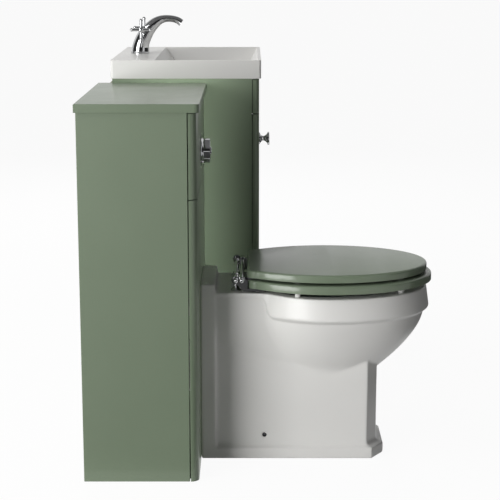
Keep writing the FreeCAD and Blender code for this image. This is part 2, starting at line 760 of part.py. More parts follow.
def rim_band():
    """The proud band round the rim, thinned to a lip along the ledge by an S-curve at its back end."""
    band = Part.makeLoft([rim_plan(S.pan_height, -S.rim_flare), rim_plan(RIM_FOOT, 0)], True, True)
    step = Part.makeLoft([rim_plan(RIM_FOOT, 0), rim_plan(STEP_FOOT, -STEP_INSET)], True, True)
    left = PAN_X - S.rim_half * 1.5
    middle = ((S.band_start + S.band_full) / 2, (LIP_FOOT + STEP_FOOT) / 2)
    quarter_run = (S.band_full - S.band_start) / 8
    quarter_drop = (LIP_FOOT - STEP_FOOT) / 4

    def seen(d, height):
        return point(left, d, height)

    upper = Part.Arc(
        seen(S.band_start, LIP_FOOT), seen(middle[0] - quarter_run, middle[1] + quarter_drop), seen(*middle))
    lower = Part.Arc(
        seen(*middle), seen(middle[0] + quarter_run, middle[1] - quarter_drop), seen(S.band_full, STEP_FOOT))
    corners = [
        seen(S.band_full, STEP_FOOT), seen(S.band_full, STEP_FOOT - S.lip),
        seen(RIM_TIP * 1.2, STEP_FOOT - S.lip),
        seen(RIM_TIP * 1.2, S.pan_height + S.lip), seen(BODY_BACK - S.lip, S.pan_height + S.lip),
        seen(BODY_BACK - S.lip, LIP_FOOT), seen(S.band_start, LIP_FOOT),
    ]
    outline = [upper.toShape(), lower.toShape()]
    outline += [Part.LineSegment(*pair).toShape() for pair in zip(corners, corners[1:])]
    side = Part.Face(Part.Wire(Part.__sortEdges__(outline))).extrude(RIGHT * float(S.rim_half * 3))
    return band.fuse(step).removeSplitter().common(side)


BELLY_FULLNESS = 1.6
BELLY_RISE = 1.12


def pan_body():
    """The wall under the band, drawn in below it to the column."""
    neck = S.ledge_half - S.lip_proud
    half = S.rim_half - BODY_INSET
    tip = RIM_TIP - BODY_INSET
    top = S.pan_height - S.lip_proud
    wall = Part.makeLoft([pan_plan(half, neck, tip, top), pan_plan(half, neck, tip, STEP_FOOT)], True, True)
    foot = S.outlet_height
    end_half = S.column_half - 1
    end_neck = end_half - S.lip_proud
    sections = []
    for step in (0, 0.2, 0.4, 0.6, 0.8, 1):
        share = step ** BELLY_FULLNESS
        side = min(1, step * BELLY_RISE) ** BELLY_FULLNESS
        height = STEP_FOOT - (STEP_FOOT - foot) * step
        sections.append(pan_plan(
            half + (end_half - half) * side, neck + (end_neck - neck) * side,
            tip + (S.column_front - 1 - tip) * share, height))
    return [wall, Part.makeLoft(sections, True, False)]


def pan_foot():
    """Column, plinth and the hollow cove between them."""
    column_plan = column_outline(S.column_half, S.column_front, S.column_chamfer)
    plinth_plan = column_outline(S.flange_half, S.plinth_front, S.plinth_front - S.column_front + S.cove)
    rings = []
    for degrees in (0, 30, 60, 90):
        share = math.sin(math.radians(degrees))
        rise = S.plinth_height + S.cove * (1 - math.cos(math.radians(degrees)))
        rings.append(polygon([
            (wide[0] + (slim[0] - wide[0]) * share, wide[1] + (slim[1] - wide[1]) * share)
            for wide, slim in zip(plinth_plan, column_plan)], rise))
    return [
        extruded(polygon(column_plan, 0), LEDGE_FOOT), extruded(polygon(plinth_plan, 0), S.plinth_height),
        Part.makeLoft(rings, True, True),
    ]


def pan_outside():
    """Flange, rim band, body, column, plinth and outlet as one ceramic piece."""
    flange = Part.makeBox(
        2 * S.flange_half, S.flange_depth, S.pan_height + S.flange_rise,
        point(PAN_X - S.flange_half, FLANGE_FRONT, 0))
    flange = flange.makeFillet(3, [edge for edge in flange.Edges
        if edge.BoundBox.YMax < WALL - PANEL_FRONT - 1])
    spigot = cylinder(point(PAN_X, SPIGOT_BACK, S.outlet_height), FRONT, SPIGOT, FLANGE_FRONT - SPIGOT_BACK)
    return flange.multiFuse([rim_band()] + pan_body() + pan_foot() + [spigot]).removeSplitter()


def bowl_room():
    """The inside of the bowl down to the sump."""
    wall = S.bowl_wall
    tip = RIM_TIP - wall * 1.5
    back = LEDGE_FRONT + wall * 1.5
    depth = S.pan_height - S.sump_height
    inner = S.rim_half - wall * 1.5
    sections = []
    for share, narrow in ((-0.03, 1.01), (0.12, 0.97), (0.32, 0.9), (0.56, 0.74), (0.8, 0.5), (1, 0.3)):
        nose = S.widest + (tip - S.widest) * narrow
        height = S.pan_height - depth * share
        sections.append(egg(inner * narrow, inner * narrow * 0.7, back, S.widest - wall, nose, height, 10))
    return Part.makeLoft(sections, True, False)


def toilet_pan():
    inside = S.column_half - S.pan_shell
    cavity_plan = column_outline(inside, S.column_front - S.pan_shell * 1.5, S.column_chamfer)
    cavity = extruded(polygon(cavity_plan, -1), S.sump_height * 0.78)
    trap = S.outlet_bore * 0.34
    sump = S.sump_height + trap * 0.75
    rise = S.outlet_height + trap * 1.4
    passage = [
        point(PAN_X, S.widest - S.bowl_wall, sump), point(PAN_X, LEDGE_FRONT + S.bowl_wall, sump),
        point(PAN_X, LEDGE_FRONT - S.bowl_wall, rise), point(PAN_X, FLANGE_FRONT + S.bowl_wall,
        S.outlet_height),
        point(PAN_X, PANEL_FRONT, S.outlet_height),
    ]
    tools = [
        bowl_room(), cavity, tube(passage, trap * 1.12, trap),
        cylinder(point(PAN_X, SPIGOT_BACK - 1, S.outlet_height), FRONT, S.outlet_bore / 2,
        FLANGE_FRONT - SPIGOT_BACK),
        cylinder(point(PAN_X, PANEL_FRONT, FLUSH_HEIGHT), FRONT, INLET, S.flange_depth / 2),
        cylinder(point(PAN_X, PANEL_FRONT, FLUSH_HEIGHT), FRONT, S.flush_pipe / 2 - S.pipe_wall,
                 LEDGE_FRONT + S.bowl_wall * 2.5 - PANEL_FRONT),
        cylinder(point(PAN_X - S.flange_half, S.fixing_place, S.fixing_height), RIGHT, S.fixing_hole / 2,
                 2 * S.flange_half),
    ]
    for x in hinge_places():
        tools.append(cylinder(point(x, S.hinge_place, S.pan_height), DOWN, HINGE_STUD + 1,
            S.ledge_drop * 1.6))
    pan = pan_outside().Solids[0]
    for tool in tools:
        pan = pan.cut(tool)
    keep(fixed("toilet_pan", pan.Solids[0]))
    pan_fixings()
    start = SPIGOT + S.pin_clear
    sleeve = S.flange_depth * 0.7
    reach = SPIGOT_BACK + sleeve - S.wc_wall_gap
    outline = [
        (start, 0), (start + 5, 0), (start + 5, sleeve), (S.soil_pipe / 2, sleeve * 1.6),
        (S.soil_pipe / 2, reach),
        (S.outlet_bore / 2, reach), (S.outlet_bore / 2, sleeve), (start, sleeve),
    ]
    keep(turned("pan_connector", outline, (PAN_X, PANEL_BACK, S.outlet_height), BACK))


def pan_fixings():
    """Angle blocks that screw to the floor inside the foot, and the side screws that hold the pan to them."""
    inside = S.column_half - S.pan_shell
    deep = S.fixing_hole * 4.5
    wide = S.fixing_hole * 2.2
    tall = S.fixing_height + S.fixing_hole * 2
    shaft = S.fixing_hole / 3
    blocks = []
    for side, inner in ((-1, PAN_X - inside), (1, PAN_X + inside - wide)):
        name = "left" if side < 0 else "right"
        body = block("pan_bracket_" + name, (inner, inner + wide),
                     (S.fixing_place - deep / 2, S.fixing_place + deep / 2), (0, tall))
        at = (inner, S.fixing_place, S.fixing_height)
        hole = rod("pan_bracket_hole_" + name, at, RIGHT, shaft + S.pin_clear, wide)
        floor = rod("pan_bracket_floor_" + name, (inner + wide / 2, S.fixing_place + deep / 3, 0), UP,
            shaft, tall)
        blocks.append(cut("pan_bracket_cut_" + name, body, [hole, floor]))
    keep(together("pan_floor_brackets", blocks))
    head = S.fixing_hole / 2 - S.run_clear
    sunk = S.pan_shell * 0.55
    length = S.pan_shell - sunk + wide
    screws = []
    for side, toward in ((-1, RIGHT), (1, LEFT)):
        outline = [
            (0, 0), (head, 0), (head, S.pan_shell * 0.2), (shaft, S.pan_shell - sunk), (shaft, length),
            (0, length),
        ]
        at = (PAN_X + side * (S.column_half - sunk), S.fixing_place, S.fixing_height)
        screws.append(turned("pan_screw_left" if side < 0 else "pan_screw_right", outline, at, toward))
    keep(together("pan_fixing_screws", screws))


# Seat and lid
SEAT_FOOT = S.pan_height + S.seat_rise
SEAT_TOP = SEAT_FOOT + S.seat_thick
LID_FOOT = SEAT_TOP + S.lid_gap
BOSS = S.hinge_rod
LID_BOSS = S.hinge_rod * 0.76
LID_BAR = S.hinge_place + S.bar_step
BAR_HALF = S.hinge_spread / 2 + S.bar_overhang
ARM_WIDTH = S.pillar_base / 2


def hinge_places():
    return [PAN_X - S.hinge_spread / 2, PAN_X + S.hinge_spread / 2]


def softened(solid, radius, heights):
    """Round the edges that lie level at the given heights."""
    tests = [level_at(height) for height in heights]
    return solid.makeFillet(float(radius), [edge for edge in solid.Edges
        if any(test(edge) for test in tests)])


def seat_and_lid():
    outer = egg(S.seat_half, S.seat_back_half, S.seat_back, S.widest, SEAT_TIP, SEAT_FOOT, 20)
    hole = egg(S.hole_half, S.hole_half * 0.7, S.hole_back, S.widest, S.hole_front, SEAT_FOOT, 24)
    ring = extruded(outer, S.seat_thick).cut(extruded(hole, S.seat_thick))
    keep(fixed("seat_ring", softened(ring, S.seat_round, [SEAT_TOP])))
    lid = egg(S.seat_half - S.lid_inset, S.seat_back_half - 2, S.seat_back - 2, S.widest,
              SEAT_TIP - S.lid_inset, LID_FOOT, 20)
    keep(fixed("seat_lid", softened(extruded(lid, S.lid_thick), S.seat_round, [LID_FOOT + S.lid_thick])))
    keep(buffers("seat_buffers", SEAT_FOOT, S.seat_rise - S.run_clear, 0.8, 0.57))
    keep(buffers("lid_buffers", LID_FOOT, S.lid_gap - S.run_clear, 0.7, 0.5))
    seat_hinge()


def buffers(label, top, height, wide_share, front_share):
    """Four soft pads that hang from a level underside."""
    pad = 6
    outline = [(0, -height), (pad, -height), (pad + 1, 0), (0, 0)]
    pattern = turned(label[:-1], outline, AT_ORIGIN)
    reach = SEAT_TIP - S.widest
    places = []
    for side in (-1, 1):
        places.append((PAN_X + side * S.seat_half * wide_share, S.widest - reach * 0.3, top))
        places.append((PAN_X + side * S.seat_half * front_share, S.widest + reach * 0.67, top))
    return group(label, pattern, places)


def hinge_bar(label, place):
    """A chrome bar with a ball finial at each end."""
    radius = S.hinge_rod / 2
    ball = S.finial / 2
    half = BAR_HALF
    neck = radius * 0.7
    chord = math.sqrt(ball ** 2 - neck ** 2)
    outline = [
        (0, -half - ball - chord), (neck, -half, ball), (radius, -half), (radius, half), (neck, half),
        (0, half + ball + chord, ball),
    ]
    return turned(label, outline, (PAN_X, place, HINGE_HEIGHT), RIGHT)


def seat_hinge():
    """A bar on two pillars that the seat's arms turn on, and a second bar in those arms for the lid."""
    keep(hinge_bar("hinge_rod", S.hinge_place))
    keep(hinge_bar("lid_hinge_rod", LID_BAR))
    keep(group("hinge_pillars", pillar(), [(x, S.hinge_place, S.pan_height) for x in hinge_places()]))
    rise = HINGE_HEIGHT
    front = S.seat_back + S.ledge_drop * 1.5
    thick = S.arm_thick
    behind = S.seat_back - S.run_clear * 4
    seat_arm = [
        (0, -BOSS * 0.8), (S.pillar_base * 0.7, SEAT_FOOT - thick - rise),
        (front - S.hinge_place, SEAT_FOOT - thick - rise), (front - S.hinge_place, SEAT_FOOT - rise),
        (behind - S.hinge_place, SEAT_FOOT - rise), (behind - S.hinge_place, 0), (0, BOSS * 0.8),
    ]
    seat_outer = BAR_HALF - S.run_clear
    keep(hinge_arms("seat_hinge_arms", seat_arm, seat_outer, S.hinge_place, BOSS, [0, S.bar_step]))
    under = SEAT_TOP + S.run_clear - rise
    top = LID_FOOT - rise
    lid_arm = [
        (0, -LID_BOSS * 0.8), (behind - LID_BAR - thick, under), (front - LID_BAR, under),
        (front - LID_BAR, top),
        (0, top),
    ]
    lid_outer = seat_outer - ARM_WIDTH - S.run_clear * 4
    keep(hinge_arms("lid_hinge_arms", lid_arm, lid_outer, LID_BAR, LID_BOSS, [0]))


def pillar():
    """A flared foot and stem with a ball eye for the rod and a stud below."""
    base = S.pillar_base / 2
    rise = HINGE_HEIGHT - S.pan_height
    eye = S.hinge_rod * 0.82
    neck = S.hinge_rod * 0.6
    chord = math.sqrt(eye ** 2 - neck ** 2)
    outline = [
        (0, -S.ledge_drop * 1.4), (HINGE_STUD, -S.ledge_drop * 1.4), (HINGE_STUD, 0), (base, 0), (base, 2),
        (neck, rise * 0.45, -rise * 0.5), (neck, rise - chord), (0, rise + eye, eye),
    ]
    stem = turned("pillar_stem", outline, AT_ORIGIN)
    bore = rod("pillar_bore", (-S.pillar_base, WALL, rise), RIGHT, S.hinge_rod / 2 + S.pin_clear,
        S.pillar_base * 2)
    return cut("hinge_pillar", stem, [bore])


def hinge_arms(label, profile, outer, place, boss_radius, bars):
    """A left and a right arm: bosses round the bars with a tongue that reaches forward."""
    width = ARM_WIDTH
    tongue_outline = [(-forward, rise) for forward, rise in profile]
    arms = []
    for name, start in (("left", PAN_X - outer), ("right", PAN_X + outer - width)):
        at = (start, place, HINGE_HEIGHT)
        solids = [prism("%s_tongue_%s" % (label, name), "YZ_Plane", tongue_outline, width, at)]
        bores = []
        for number, forward in enumerate(bars):
            tag = "%s_%s_%d" % (label, name, number)
            on_bar = (start, place + forward, HINGE_HEIGHT)
            solids.append(rod(tag + "_boss", on_bar, RIGHT, boss_radius if number == 0 else LID_BOSS, width))
            bores.append(rod(tag + "_bore", on_bar, RIGHT, S.hinge_rod / 2 + S.pin_clear, width))
        arms.append(cut("%s_%s" % (label, name), joined("%s_blank_%s" % (label, name), solids), bores))
    return together(label, arms)




# Vanity cabinet
VANITY_INSIDE = (S.board, VANITY_RIGHT - S.board)
DOOR_TOP = FASCIA_FOOT - S.reveal
BOTTOM_TOP = S.plinth_rise + S.board
HINGE_D = DOOR_BACK - S.door_gap / 2
HINGE_HEIGHTS = [S.door_floor_gap + S.hinge_inset, DOOR_TOP - S.hinge_inset - S.hinge_leaf]
KNUCKLE = S.hinge_pin / 2 + S.hinge_wall
PIN_DEPTH = S.board / 2
SHELF_PINS = [(d, S.shelf_height - S.shelf_pin / 2)
              for d in (VANITY_BACK + S.shelf_set_back * 2, VANITY_FRONT - S.shelf_set_back * 2)]


def hinge_relief(label):
    """Room round the hinge knuckles at the door's outer edge."""
    return [
        rod("%s_relief%d" % (label, number), (VANITY_RIGHT, HINGE_D, foot - S.run_clear), UP,
            KNUCKLE + S.run_clear, S.hinge_leaf + 2 * S.run_clear)
        for number, foot in enumerate(HINGE_HEIGHTS)
    ]


def pin_holes(label, start):
    """Drillings for the shelf pins in a side board."""
    return [
        rod("%s_pin%d" % (label, number), (start, d, z), RIGHT, S.shelf_pin / 2 + S.pin_clear, PIN_DEPTH)
        for number, (d, z) in enumerate(SHELF_PINS)
    ]


def vanity_cabinet():
    side_d = (VANITY_BACK, VANITY_FRONT)
    left = block("vanity_left_board", (0, S.board), side_d, (0, VANITY_TOP))
    holes = bolt_holes("vanity_left", 0) + pin_holes("vanity_left", S.board - PIN_DEPTH)
    keep(cut("vanity_left_side", left, holes))
    right = block("vanity_right_board", (VANITY_RIGHT - S.board, VANITY_RIGHT), side_d, (0, VANITY_TOP))
    holes = pin_holes("vanity_right", VANITY_RIGHT - S.board) + hinge_relief("vanity_right")
    keep(cut("vanity_right_side", right, holes))
    keep(block("vanity_bottom", VANITY_INSIDE, side_d, (S.plinth_rise, BOTTOM_TOP)))
    back_d = (VANITY_BACK, VANITY_BACK + S.board)
    top_z = (VANITY_TOP - S.rail_height, VANITY_TOP)
    screw_z = top_z[0] + S.rail_height / 4
    rail = block("vanity_back_rail_blank", VANITY_INSIDE, back_d, top_z)
    rail_holes = wall_holes("vanity_rail", S.vanity_width / 2, screw_z, back_d)
    keep(together("vanity_back_rails", [
        cut("vanity_back_rail_top", rail, rail_holes),
        block("vanity_back_rail_low", VANITY_INSIDE, back_d, (BOTTOM_TOP, BOTTOM_TOP + S.rail_height)),
    ]))
    rail_z = (FASCIA_FOOT, FASCIA_FOOT + S.rail_height / 2)
    keep(block("vanity_front_rail", VANITY_INSIDE, (VANITY_FRONT - S.board, DOOR_BACK), rail_z))
    keep(door_board("vanity_fascia", FASCIA_FOOT, VANITY_TOP - S.reveal))
    shelf_d = (VANITY_BACK, VANITY_FRONT - S.shelf_set_back)
    shelf_x = (S.board + S.run_clear, VANITY_RIGHT - S.board - S.run_clear)
    keep(block("vanity_shelf", shelf_x, shelf_d, (S.shelf_height, S.shelf_height + S.board)))
    length = PIN_DEPTH * 2
    starts = (S.board - PIN_DEPTH, VANITY_RIGHT - S.board - PIN_DEPTH)
    pattern = rod("shelf_pin", AT_ORIGIN, RIGHT, S.shelf_pin / 2, length)
    keep(group("shelf_pins", pattern, [(x, d, z) for x in starts for d, z in SHELF_PINS]))
    batten_d = (0, VANITY_BACK)
    batten_top = top_z[0] + S.rail_height / 2
    low = block("wall_batten_low", VANITY_INSIDE, batten_d, (BOTTOM_TOP, BOTTOM_TOP + S.batten_height))
    high = block("wall_batten_blank", VANITY_INSIDE, batten_d, (batten_top - S.batten_height, batten_top))
    batten_holes = wall_holes("wall_batten", S.vanity_width / 2, screw_z, batten_d)
    keep(together("wall_battens", [low, cut("wall_batten_high", high, batten_holes)]))
    door_and_hinges()


def door_board(label, foot, top):
    """A front of the vanity with its upright outer edges rounded over."""
    outline = [(S.reveal, foot), (VANITY_RIGHT, foot), (VANITY_RIGHT, top), (S.reveal, top)]

    def outer(edge):
        return upright(edge) and edge.BoundBox.YMax < -S.door_board / 2
    return prism(label, "XZ_Plane", outline, S.door_board, (0, DOOR_BACK, 0), (), [(S.panel_round, outer)])


def door_and_hinges():
    board = door_board("vanity_door_board", S.door_floor_gap, DOOR_TOP)
    keep(cut("vanity_door", board, hinge_relief("vanity_door")))
    knob()
    third = S.hinge_leaf / 3
    half_gap = S.door_gap / 2 - S.pin_clear
    fixed_leaves = []
    door_leaves = []
    leaf_x = (VANITY_RIGHT - S.leaf_width, VANITY_RIGHT)
    for name, foot in zip(("low", "high"), HINGE_HEIGHTS):
        at = (VANITY_RIGHT, HINGE_D, foot)
        leaf_z = (foot, foot + S.hinge_leaf)
        frame_leaf = block("frame_leaf_" + name, leaf_x, (VANITY_FRONT, VANITY_FRONT + half_gap), leaf_z)
        barrel = rod("frame_barrel_" + name, at, UP, KNUCKLE, S.hinge_leaf)
        middle = (VANITY_RIGHT, HINGE_D, foot + third)
        gap = rod("frame_gap_" + name, middle, UP, KNUCKLE + S.run_clear, third)
        frame = cut("frame_cut_" + name, joined("frame_blank_" + name, [frame_leaf, barrel]), [gap])
        pin = rod("frame_pin_" + name, at, UP, S.hinge_pin / 2, S.hinge_leaf)
        fixed_leaves.append(joined("frame_hinge_" + name, [frame, pin]))
        door_leaf = block("door_leaf_" + name, leaf_x, (DOOR_BACK - half_gap, DOOR_BACK), leaf_z)
        ends = [
            rod("door_end%d_%s" % (number, name), (VANITY_RIGHT, HINGE_D, z), UP, KNUCKLE + S.run_clear,
            third + slack)
            for number, (z, slack) in enumerate(((foot, S.pin_clear), (foot + 2 * third - S.pin_clear,
            S.pin_clear)))
        ]
        sleeve_foot = (VANITY_RIGHT, HINGE_D, foot + third + S.pin_clear)
        sleeve = rod("door_sleeve_" + name, sleeve_foot, UP, KNUCKLE, third - 2 * S.pin_clear)
        bore = rod("door_bore_" + name, at, UP, S.hinge_pin / 2 + S.pin_clear, S.hinge_leaf)
        leaf = cut("door_leaf_cut_" + name, door_leaf, ends)
        door_leaves.append(cut("door_hinge_" + name, joined("door_blank_" + name, [leaf, sleeve]), [bore]))
    keep(together("hinge_frame_leaves", fixed_leaves))
    keep(together("hinge_door_leaves", door_leaves))


def knob():
    """A waisted round knob."""
    base = S.knob_base / 2
    waist = S.knob_waist / 2
    face = S.knob_face / 2
    rim = S.knob_length * 0.16
    low = S.knob_length * 0.45
    outline = [
        (0, 0), (base, 0), (base, rim / 2), (waist, low, -S.knob_length * 0.42),
        (face, S.knob_length - rim, -S.knob_length * 0.5), (face, S.knob_length - rim / 2),
        (face - rim / 2, S.knob_length, rim / 2), (0, S.knob_length),
    ]
    keep(turned("door_knob", outline, (S.knob_inset, DOOR_FRONT, S.knob_height), FRONT))


# Basin
BASIN_X = S.vanity_width / 2
BOWL_BACK = BASIN_BACK + S.deck_depth
BOWL_FRONT = BASIN_FRONT - S.basin_rim
FLOOR_Z = S.vanity_height - S.bowl_depth
FLOOR_BACK = BOWL_BACK + S.bowl_back_run
FLOOR_FRONT = BOWL_FRONT - S.bowl_front_run
FLOOR_HALF = S.vanity_width / 2 - S.basin_rim - S.bowl_side_run
WASTE_D = (FLOOR_BACK + FLOOR_FRONT) / 2
WASTE_AT = (BASIN_X, WASTE_D, FLOOR_Z)
TAP_D = BASIN_BACK + S.tap_set_back


def rectangle(half, back, front):
    """Corners of a level rectangle about the basin's middle, in a sketch on the basin's own plane."""
    return [(-half, -front), (half, -front), (half, -back), (-half, -back)]


def basin():
    """A slab with a hollow underside, a bowl of flat sloping walls, a tap hole and a waste hole."""
    body = doc.addObject("PartDesign::Body", "basin")
    wall = S.basin_wall
    half = S.vanity_width / 2
    deck = S.vanity_height - wall
    slab = body.newObject("PartDesign::Pad", "basin_slab")
    slab.Profile = sketch(body, "XY_Plane", rectangle(half, BASIN_BACK, BASIN_FRONT), (), VANITY_TOP)
    slab.setExpression("Length", S.basin_edge.text)
    body.Tip = slab
    round_edges(body, S.basin_corner, upright)
    hollow = body.newObject("PartDesign::Pocket", "basin_hollow")
    hollow.Profile = sketch(
        body, "XY_Plane", rectangle(half - wall, BASIN_BACK + wall, BASIN_FRONT - wall), (), VANITY_TOP)
    hollow.setExpression("Length", (S.basin_edge - wall).text)
    hollow.Reversed = True
    body.Tip = hollow
    slope = wall * 1.2
    mouth = half - S.basin_rim
    outer = body.newObject("PartDesign::AdditiveLoft", "basin_bowl")
    share = wall / S.bowl_depth
    outer.Profile = sketch(body, "XY_Plane", rectangle(
        mouth - share * S.bowl_side_run + slope / 3, BOWL_BACK + share * S.bowl_back_run - slope / 3,
        BOWL_FRONT - share * S.bowl_front_run + slope / 3), (), deck)
    outer.Sections = [sketch(body, "XY_Plane", rectangle(
        FLOOR_HALF + slope / 2, FLOOR_BACK - slope / 2, FLOOR_FRONT + slope / 2), (), FLOOR_Z - wall)]
    outer.Ruled = True
    body.Tip = outer
    room = body.newObject("PartDesign::SubtractiveLoft", "basin_room")
    room.Profile = sketch(body, "XY_Plane", rectangle(mouth, BOWL_BACK, BOWL_FRONT), (), S.vanity_height)
    room.Sections = [sketch(body, "XY_Plane", rectangle(FLOOR_HALF, FLOOR_BACK, FLOOR_FRONT), (), FLOOR_Z)]
    room.Ruled = True
    body.Tip = room
    place(body, "basin_blank", BASIN_X, 0, 0)
    tap = rod("tap_hole_cut", (BASIN_X, TAP_D, deck), UP, S.tap_hole / 2, wall)
    waste = rod("waste_hole_cut", (BASIN_X, WASTE_D, FLOOR_Z - wall), UP, S.waste_hole / 2, wall)
    keep(cut("basin", body, [tap, waste]))


# Tap
TAP_FLOOR = S.vanity_height
BOSS_END = S.handle_spread - S.handle_length * 0.65
# Stations along the spout: forward of the tap's axis, above the deck, and radius, as shares of reach and
# rise.
SPOUT = [
    (0.01, 0.02, 0.21), (0.04, 0.31, 0.19), (0.1, 0.47, 0.18), (0.22, 0.69, 0.155), (0.36, 0.86, 0.13),
    (0.54, 0.98, 0.095), (0.73, 1.0, 0.08), (0.9, 0.955, 0.082), (1.0, 0.87, 0.09),
]


def spout():
    """The swan neck: round sections along a rising and falling line."""
    middles = [
        point(BASIN_X, TAP_D + forward * S.spout_reach, TAP_FLOOR + up * S.spout_rise) for forward, up,
        size in SPOUT
    ]
    rings = []
    for number, (forward, up, size) in enumerate(SPOUT):
        before = middles[max(number - 1, 0)]
        after = middles[min(number + 1, len(middles) - 1)]
        along = after - before if number else UP
        circle = Part.Circle(middles[number], along, float(size * S.spout_reach))
        rings.append(Part.Wire(circle.toShape()))
    return Part.makeLoft(rings, True, False)


def tap():
    flange = S.flange_diameter / 2
    root = SPOUT[0][2] * S.spout_reach
    shank = S.tap_hole / 2 - 1
    outline = [
        (0, -S.shank_length), (shank, -S.shank_length), (shank, 0), (flange, 0),
        (flange, S.flange_height / 2),
        (root, S.flange_height, -S.flange_height * 0.6), (0, S.flange_height),
    ]
    foot = turned("tap_foot", outline, (BASIN_X, TAP_D, TAP_FLOOR))
    doc.recompute()
    arm_d = TAP_D + S.arm_forward
    arm_z = TAP_FLOOR + S.arm_height
    body = foot.Shape.fuse(spout())
    left_end = point(BASIN_X - BOSS_END, arm_d, arm_z)
    body = body.fuse(cylinder(left_end, RIGHT, S.arm_diameter / 2, 2 * BOSS_END))
    pin = S.handle_spread + S.handle_length * 0.1
    body = body.fuse(cylinder(point(BASIN_X - pin, arm_d, arm_z), RIGHT, S.spindle / 2, 2 * pin))
    mouth = SPOUT[-1][2] * S.spout_reach * 0.6
    end = point(BASIN_X, TAP_D + S.spout_reach, TAP_FLOOR + SPOUT[-1][1] * S.spout_rise)
    beak = Vector(0, -(SPOUT[-1][0] - SPOUT[-2][0]) * S.spout_reach,
        (SPOUT[-1][1] - SPOUT[-2][1]) * S.spout_rise)
    body = body.cut(cylinder(end - beak.normalize() * 8, beak, mouth, 12))
    keep(fixed("tap_body", body.removeSplitter()))
    keep(tap_handle("tap_handle_hot", -1, LEFT))
    keep(tap_handle("tap_handle_cold", 1, RIGHT))
    nut = S.tap_hole * 0.75
    under = -S.basin_wall
    fixing = [
        (shank + S.pin_clear, under - S.flange_height), (nut, under - S.flange_height), (nut, under),
        (shank + S.pin_clear, under),
    ]
    keep(turned("tap_fixing", fixing, (BASIN_X, TAP_D, TAP_FLOOR)))


def tap_handle(label, side, toward):
    """A cross head: a domed hub on the spindle with four ball-tipped arms."""
    at = (BASIN_X + side * (BOSS_END + S.run_clear), TAP_D + S.arm_forward, TAP_FLOOR + S.arm_height)
    hub = S.handle_hub / 2
    bore = S.spindle / 2 + S.pin_clear
    end = S.handle_length
    blind = S.handle_spread + S.handle_length * 0.1 - BOSS_END
    outline = [
        (bore, 0), (hub * 1.15, 0), (hub * 0.8, end * 0.35, -end * 0.5), (hub, end * 0.5), (hub, end * 0.8),
        (0, end, dome(hub, end * 0.2)), (0, blind), (bore, blind),
    ]
    pieces = [turned(label + "_hub", outline, at, toward)]
    middle = (at[0] + side * end * 0.65, at[1], at[2])
    for number, way in enumerate((UP, DOWN, FRONT, BACK)):
        arm = rod("%s_arm%d" % (label, number), middle, way, S.cross_arm / 2,
            S.cross_radius - S.cross_ball / 2)
        ball = doc.addObject("Part::Sphere", "%s_ball%d" % (label, number))
        ball.setExpression("Radius", (S.cross_ball / 2).text)
        reach = S.cross_radius - S.cross_ball / 2
        place(ball, ball.Name, middle[0], middle[1] - way.y * reach, middle[2] + way.z * reach)
        pieces += [arm, ball]
    spindle = (BASIN_X + side * (BOSS_END - 1), at[1], at[2])
    room = rod(label + "_room", spindle, toward, bore, blind + 1)
    return cut(label, joined(label + "_blank", pieces), [room])


def waste_and_trap():
    flange = S.waste_hole * 0.7
    tail = S.waste_hole / 2 - 0.5
    bore = tail - 4
    guide = S.waste_hole * 0.1
    lip = 2.5
    web = S.waste_tail / 2
    outline = [
        (bore, -S.waste_tail), (tail, -S.waste_tail), (tail, 0), (flange, 0), (flange, lip / 2),
        (flange - lip, lip), (bore, lip), (bore, -web), (guide, -web), (guide, -web - lip),
        (bore, -web - lip),
    ]
    blank = turned("waste_blank", outline, WASTE_AT)
    ports = []
    for number, (way_x, way_d) in enumerate(((1, 0), (-1, 0), (0, 1), (0, -1))):
        middle = (bore + guide) / 2
        at = (BASIN_X + middle * way_x, WASTE_D + middle * way_d, FLOOR_Z - web - lip * 2)
        ports.append(rod("waste_port%d" % number, at, UP, (bore - guide) * 0.4, lip * 3))
    keep(cut("waste_body", blank, ports))
    stem = guide - S.pin_clear
    cap = flange * 0.85
    seat = lip + S.run_clear
    plug = [
        (0, -web - lip * 3), (stem, -web - lip * 3), (stem, seat), (cap, seat), (cap, seat + lip / 2),
        (0, seat + lip * 2, dome(cap, lip * 1.5)),
    ]
    keep(turned("waste_plug", plug, WASTE_AT))
    nut = [
        (tail + S.pin_clear, -S.basin_wall - S.flange_height), (flange, -S.basin_wall - S.flange_height),
        (flange, -S.basin_wall), (tail + S.pin_clear, -S.basin_wall),
    ]
    keep(turned("waste_nut", nut, WASTE_AT))
    trap(tail)


def trap(tail):
    """A bottle trap under the waste and its pipe to the wall."""
    radius = S.trap_diameter / 2
    collar = tail + S.pin_clear
    top = S.waste_tail / 3 - S.waste_tail
    shoulder = -S.waste_tail
    foot = shoulder - S.trap_drop
    pipe = S.trap_pipe / 2
    outline = [
        (0, foot), (radius * 0.8, foot), (radius, foot + 6, 8), (radius, shoulder - 10),
        (radius * 0.95, shoulder),
        (collar + 4, shoulder), (collar + 4, top), (collar, top), (collar, shoulder),
        (radius - 4, shoulder - 6),
        (radius - 4, foot + 8), (0, foot + 8),
    ]
    bottle = turned("trap_bottle", outline, WASTE_AT)
    branch_z = FLOOR_Z + shoulder - S.trap_drop * 0.35
    hole = rod("trap_port", (BASIN_X, WASTE_D, branch_z), BACK, pipe + S.pin_clear, S.trap_diameter)
    keep(cut("bottle_trap", bottle, [hole]))
    reach = WASTE_D - radius * 0.93
    collar_end = S.trap_pipe * 0.6
    branch = [
        (pipe - 2, 0), (pipe, 0), (pipe, radius * 0.3), (pipe * 1.4, radius * 0.3), (pipe * 1.4, collar_end),
        (pipe, collar_end), (pipe, reach), (pipe - 2, reach),
    ]
    keep(turned("trap_outlet", branch, (BASIN_X, reach, branch_z), BACK))


wc_cabinet()
flush_control()
cistern()
toilet_pan()
seat_and_lid()
vanity_cabinet()
basin()
tap()
waste_and_trap()
doc.recompute()

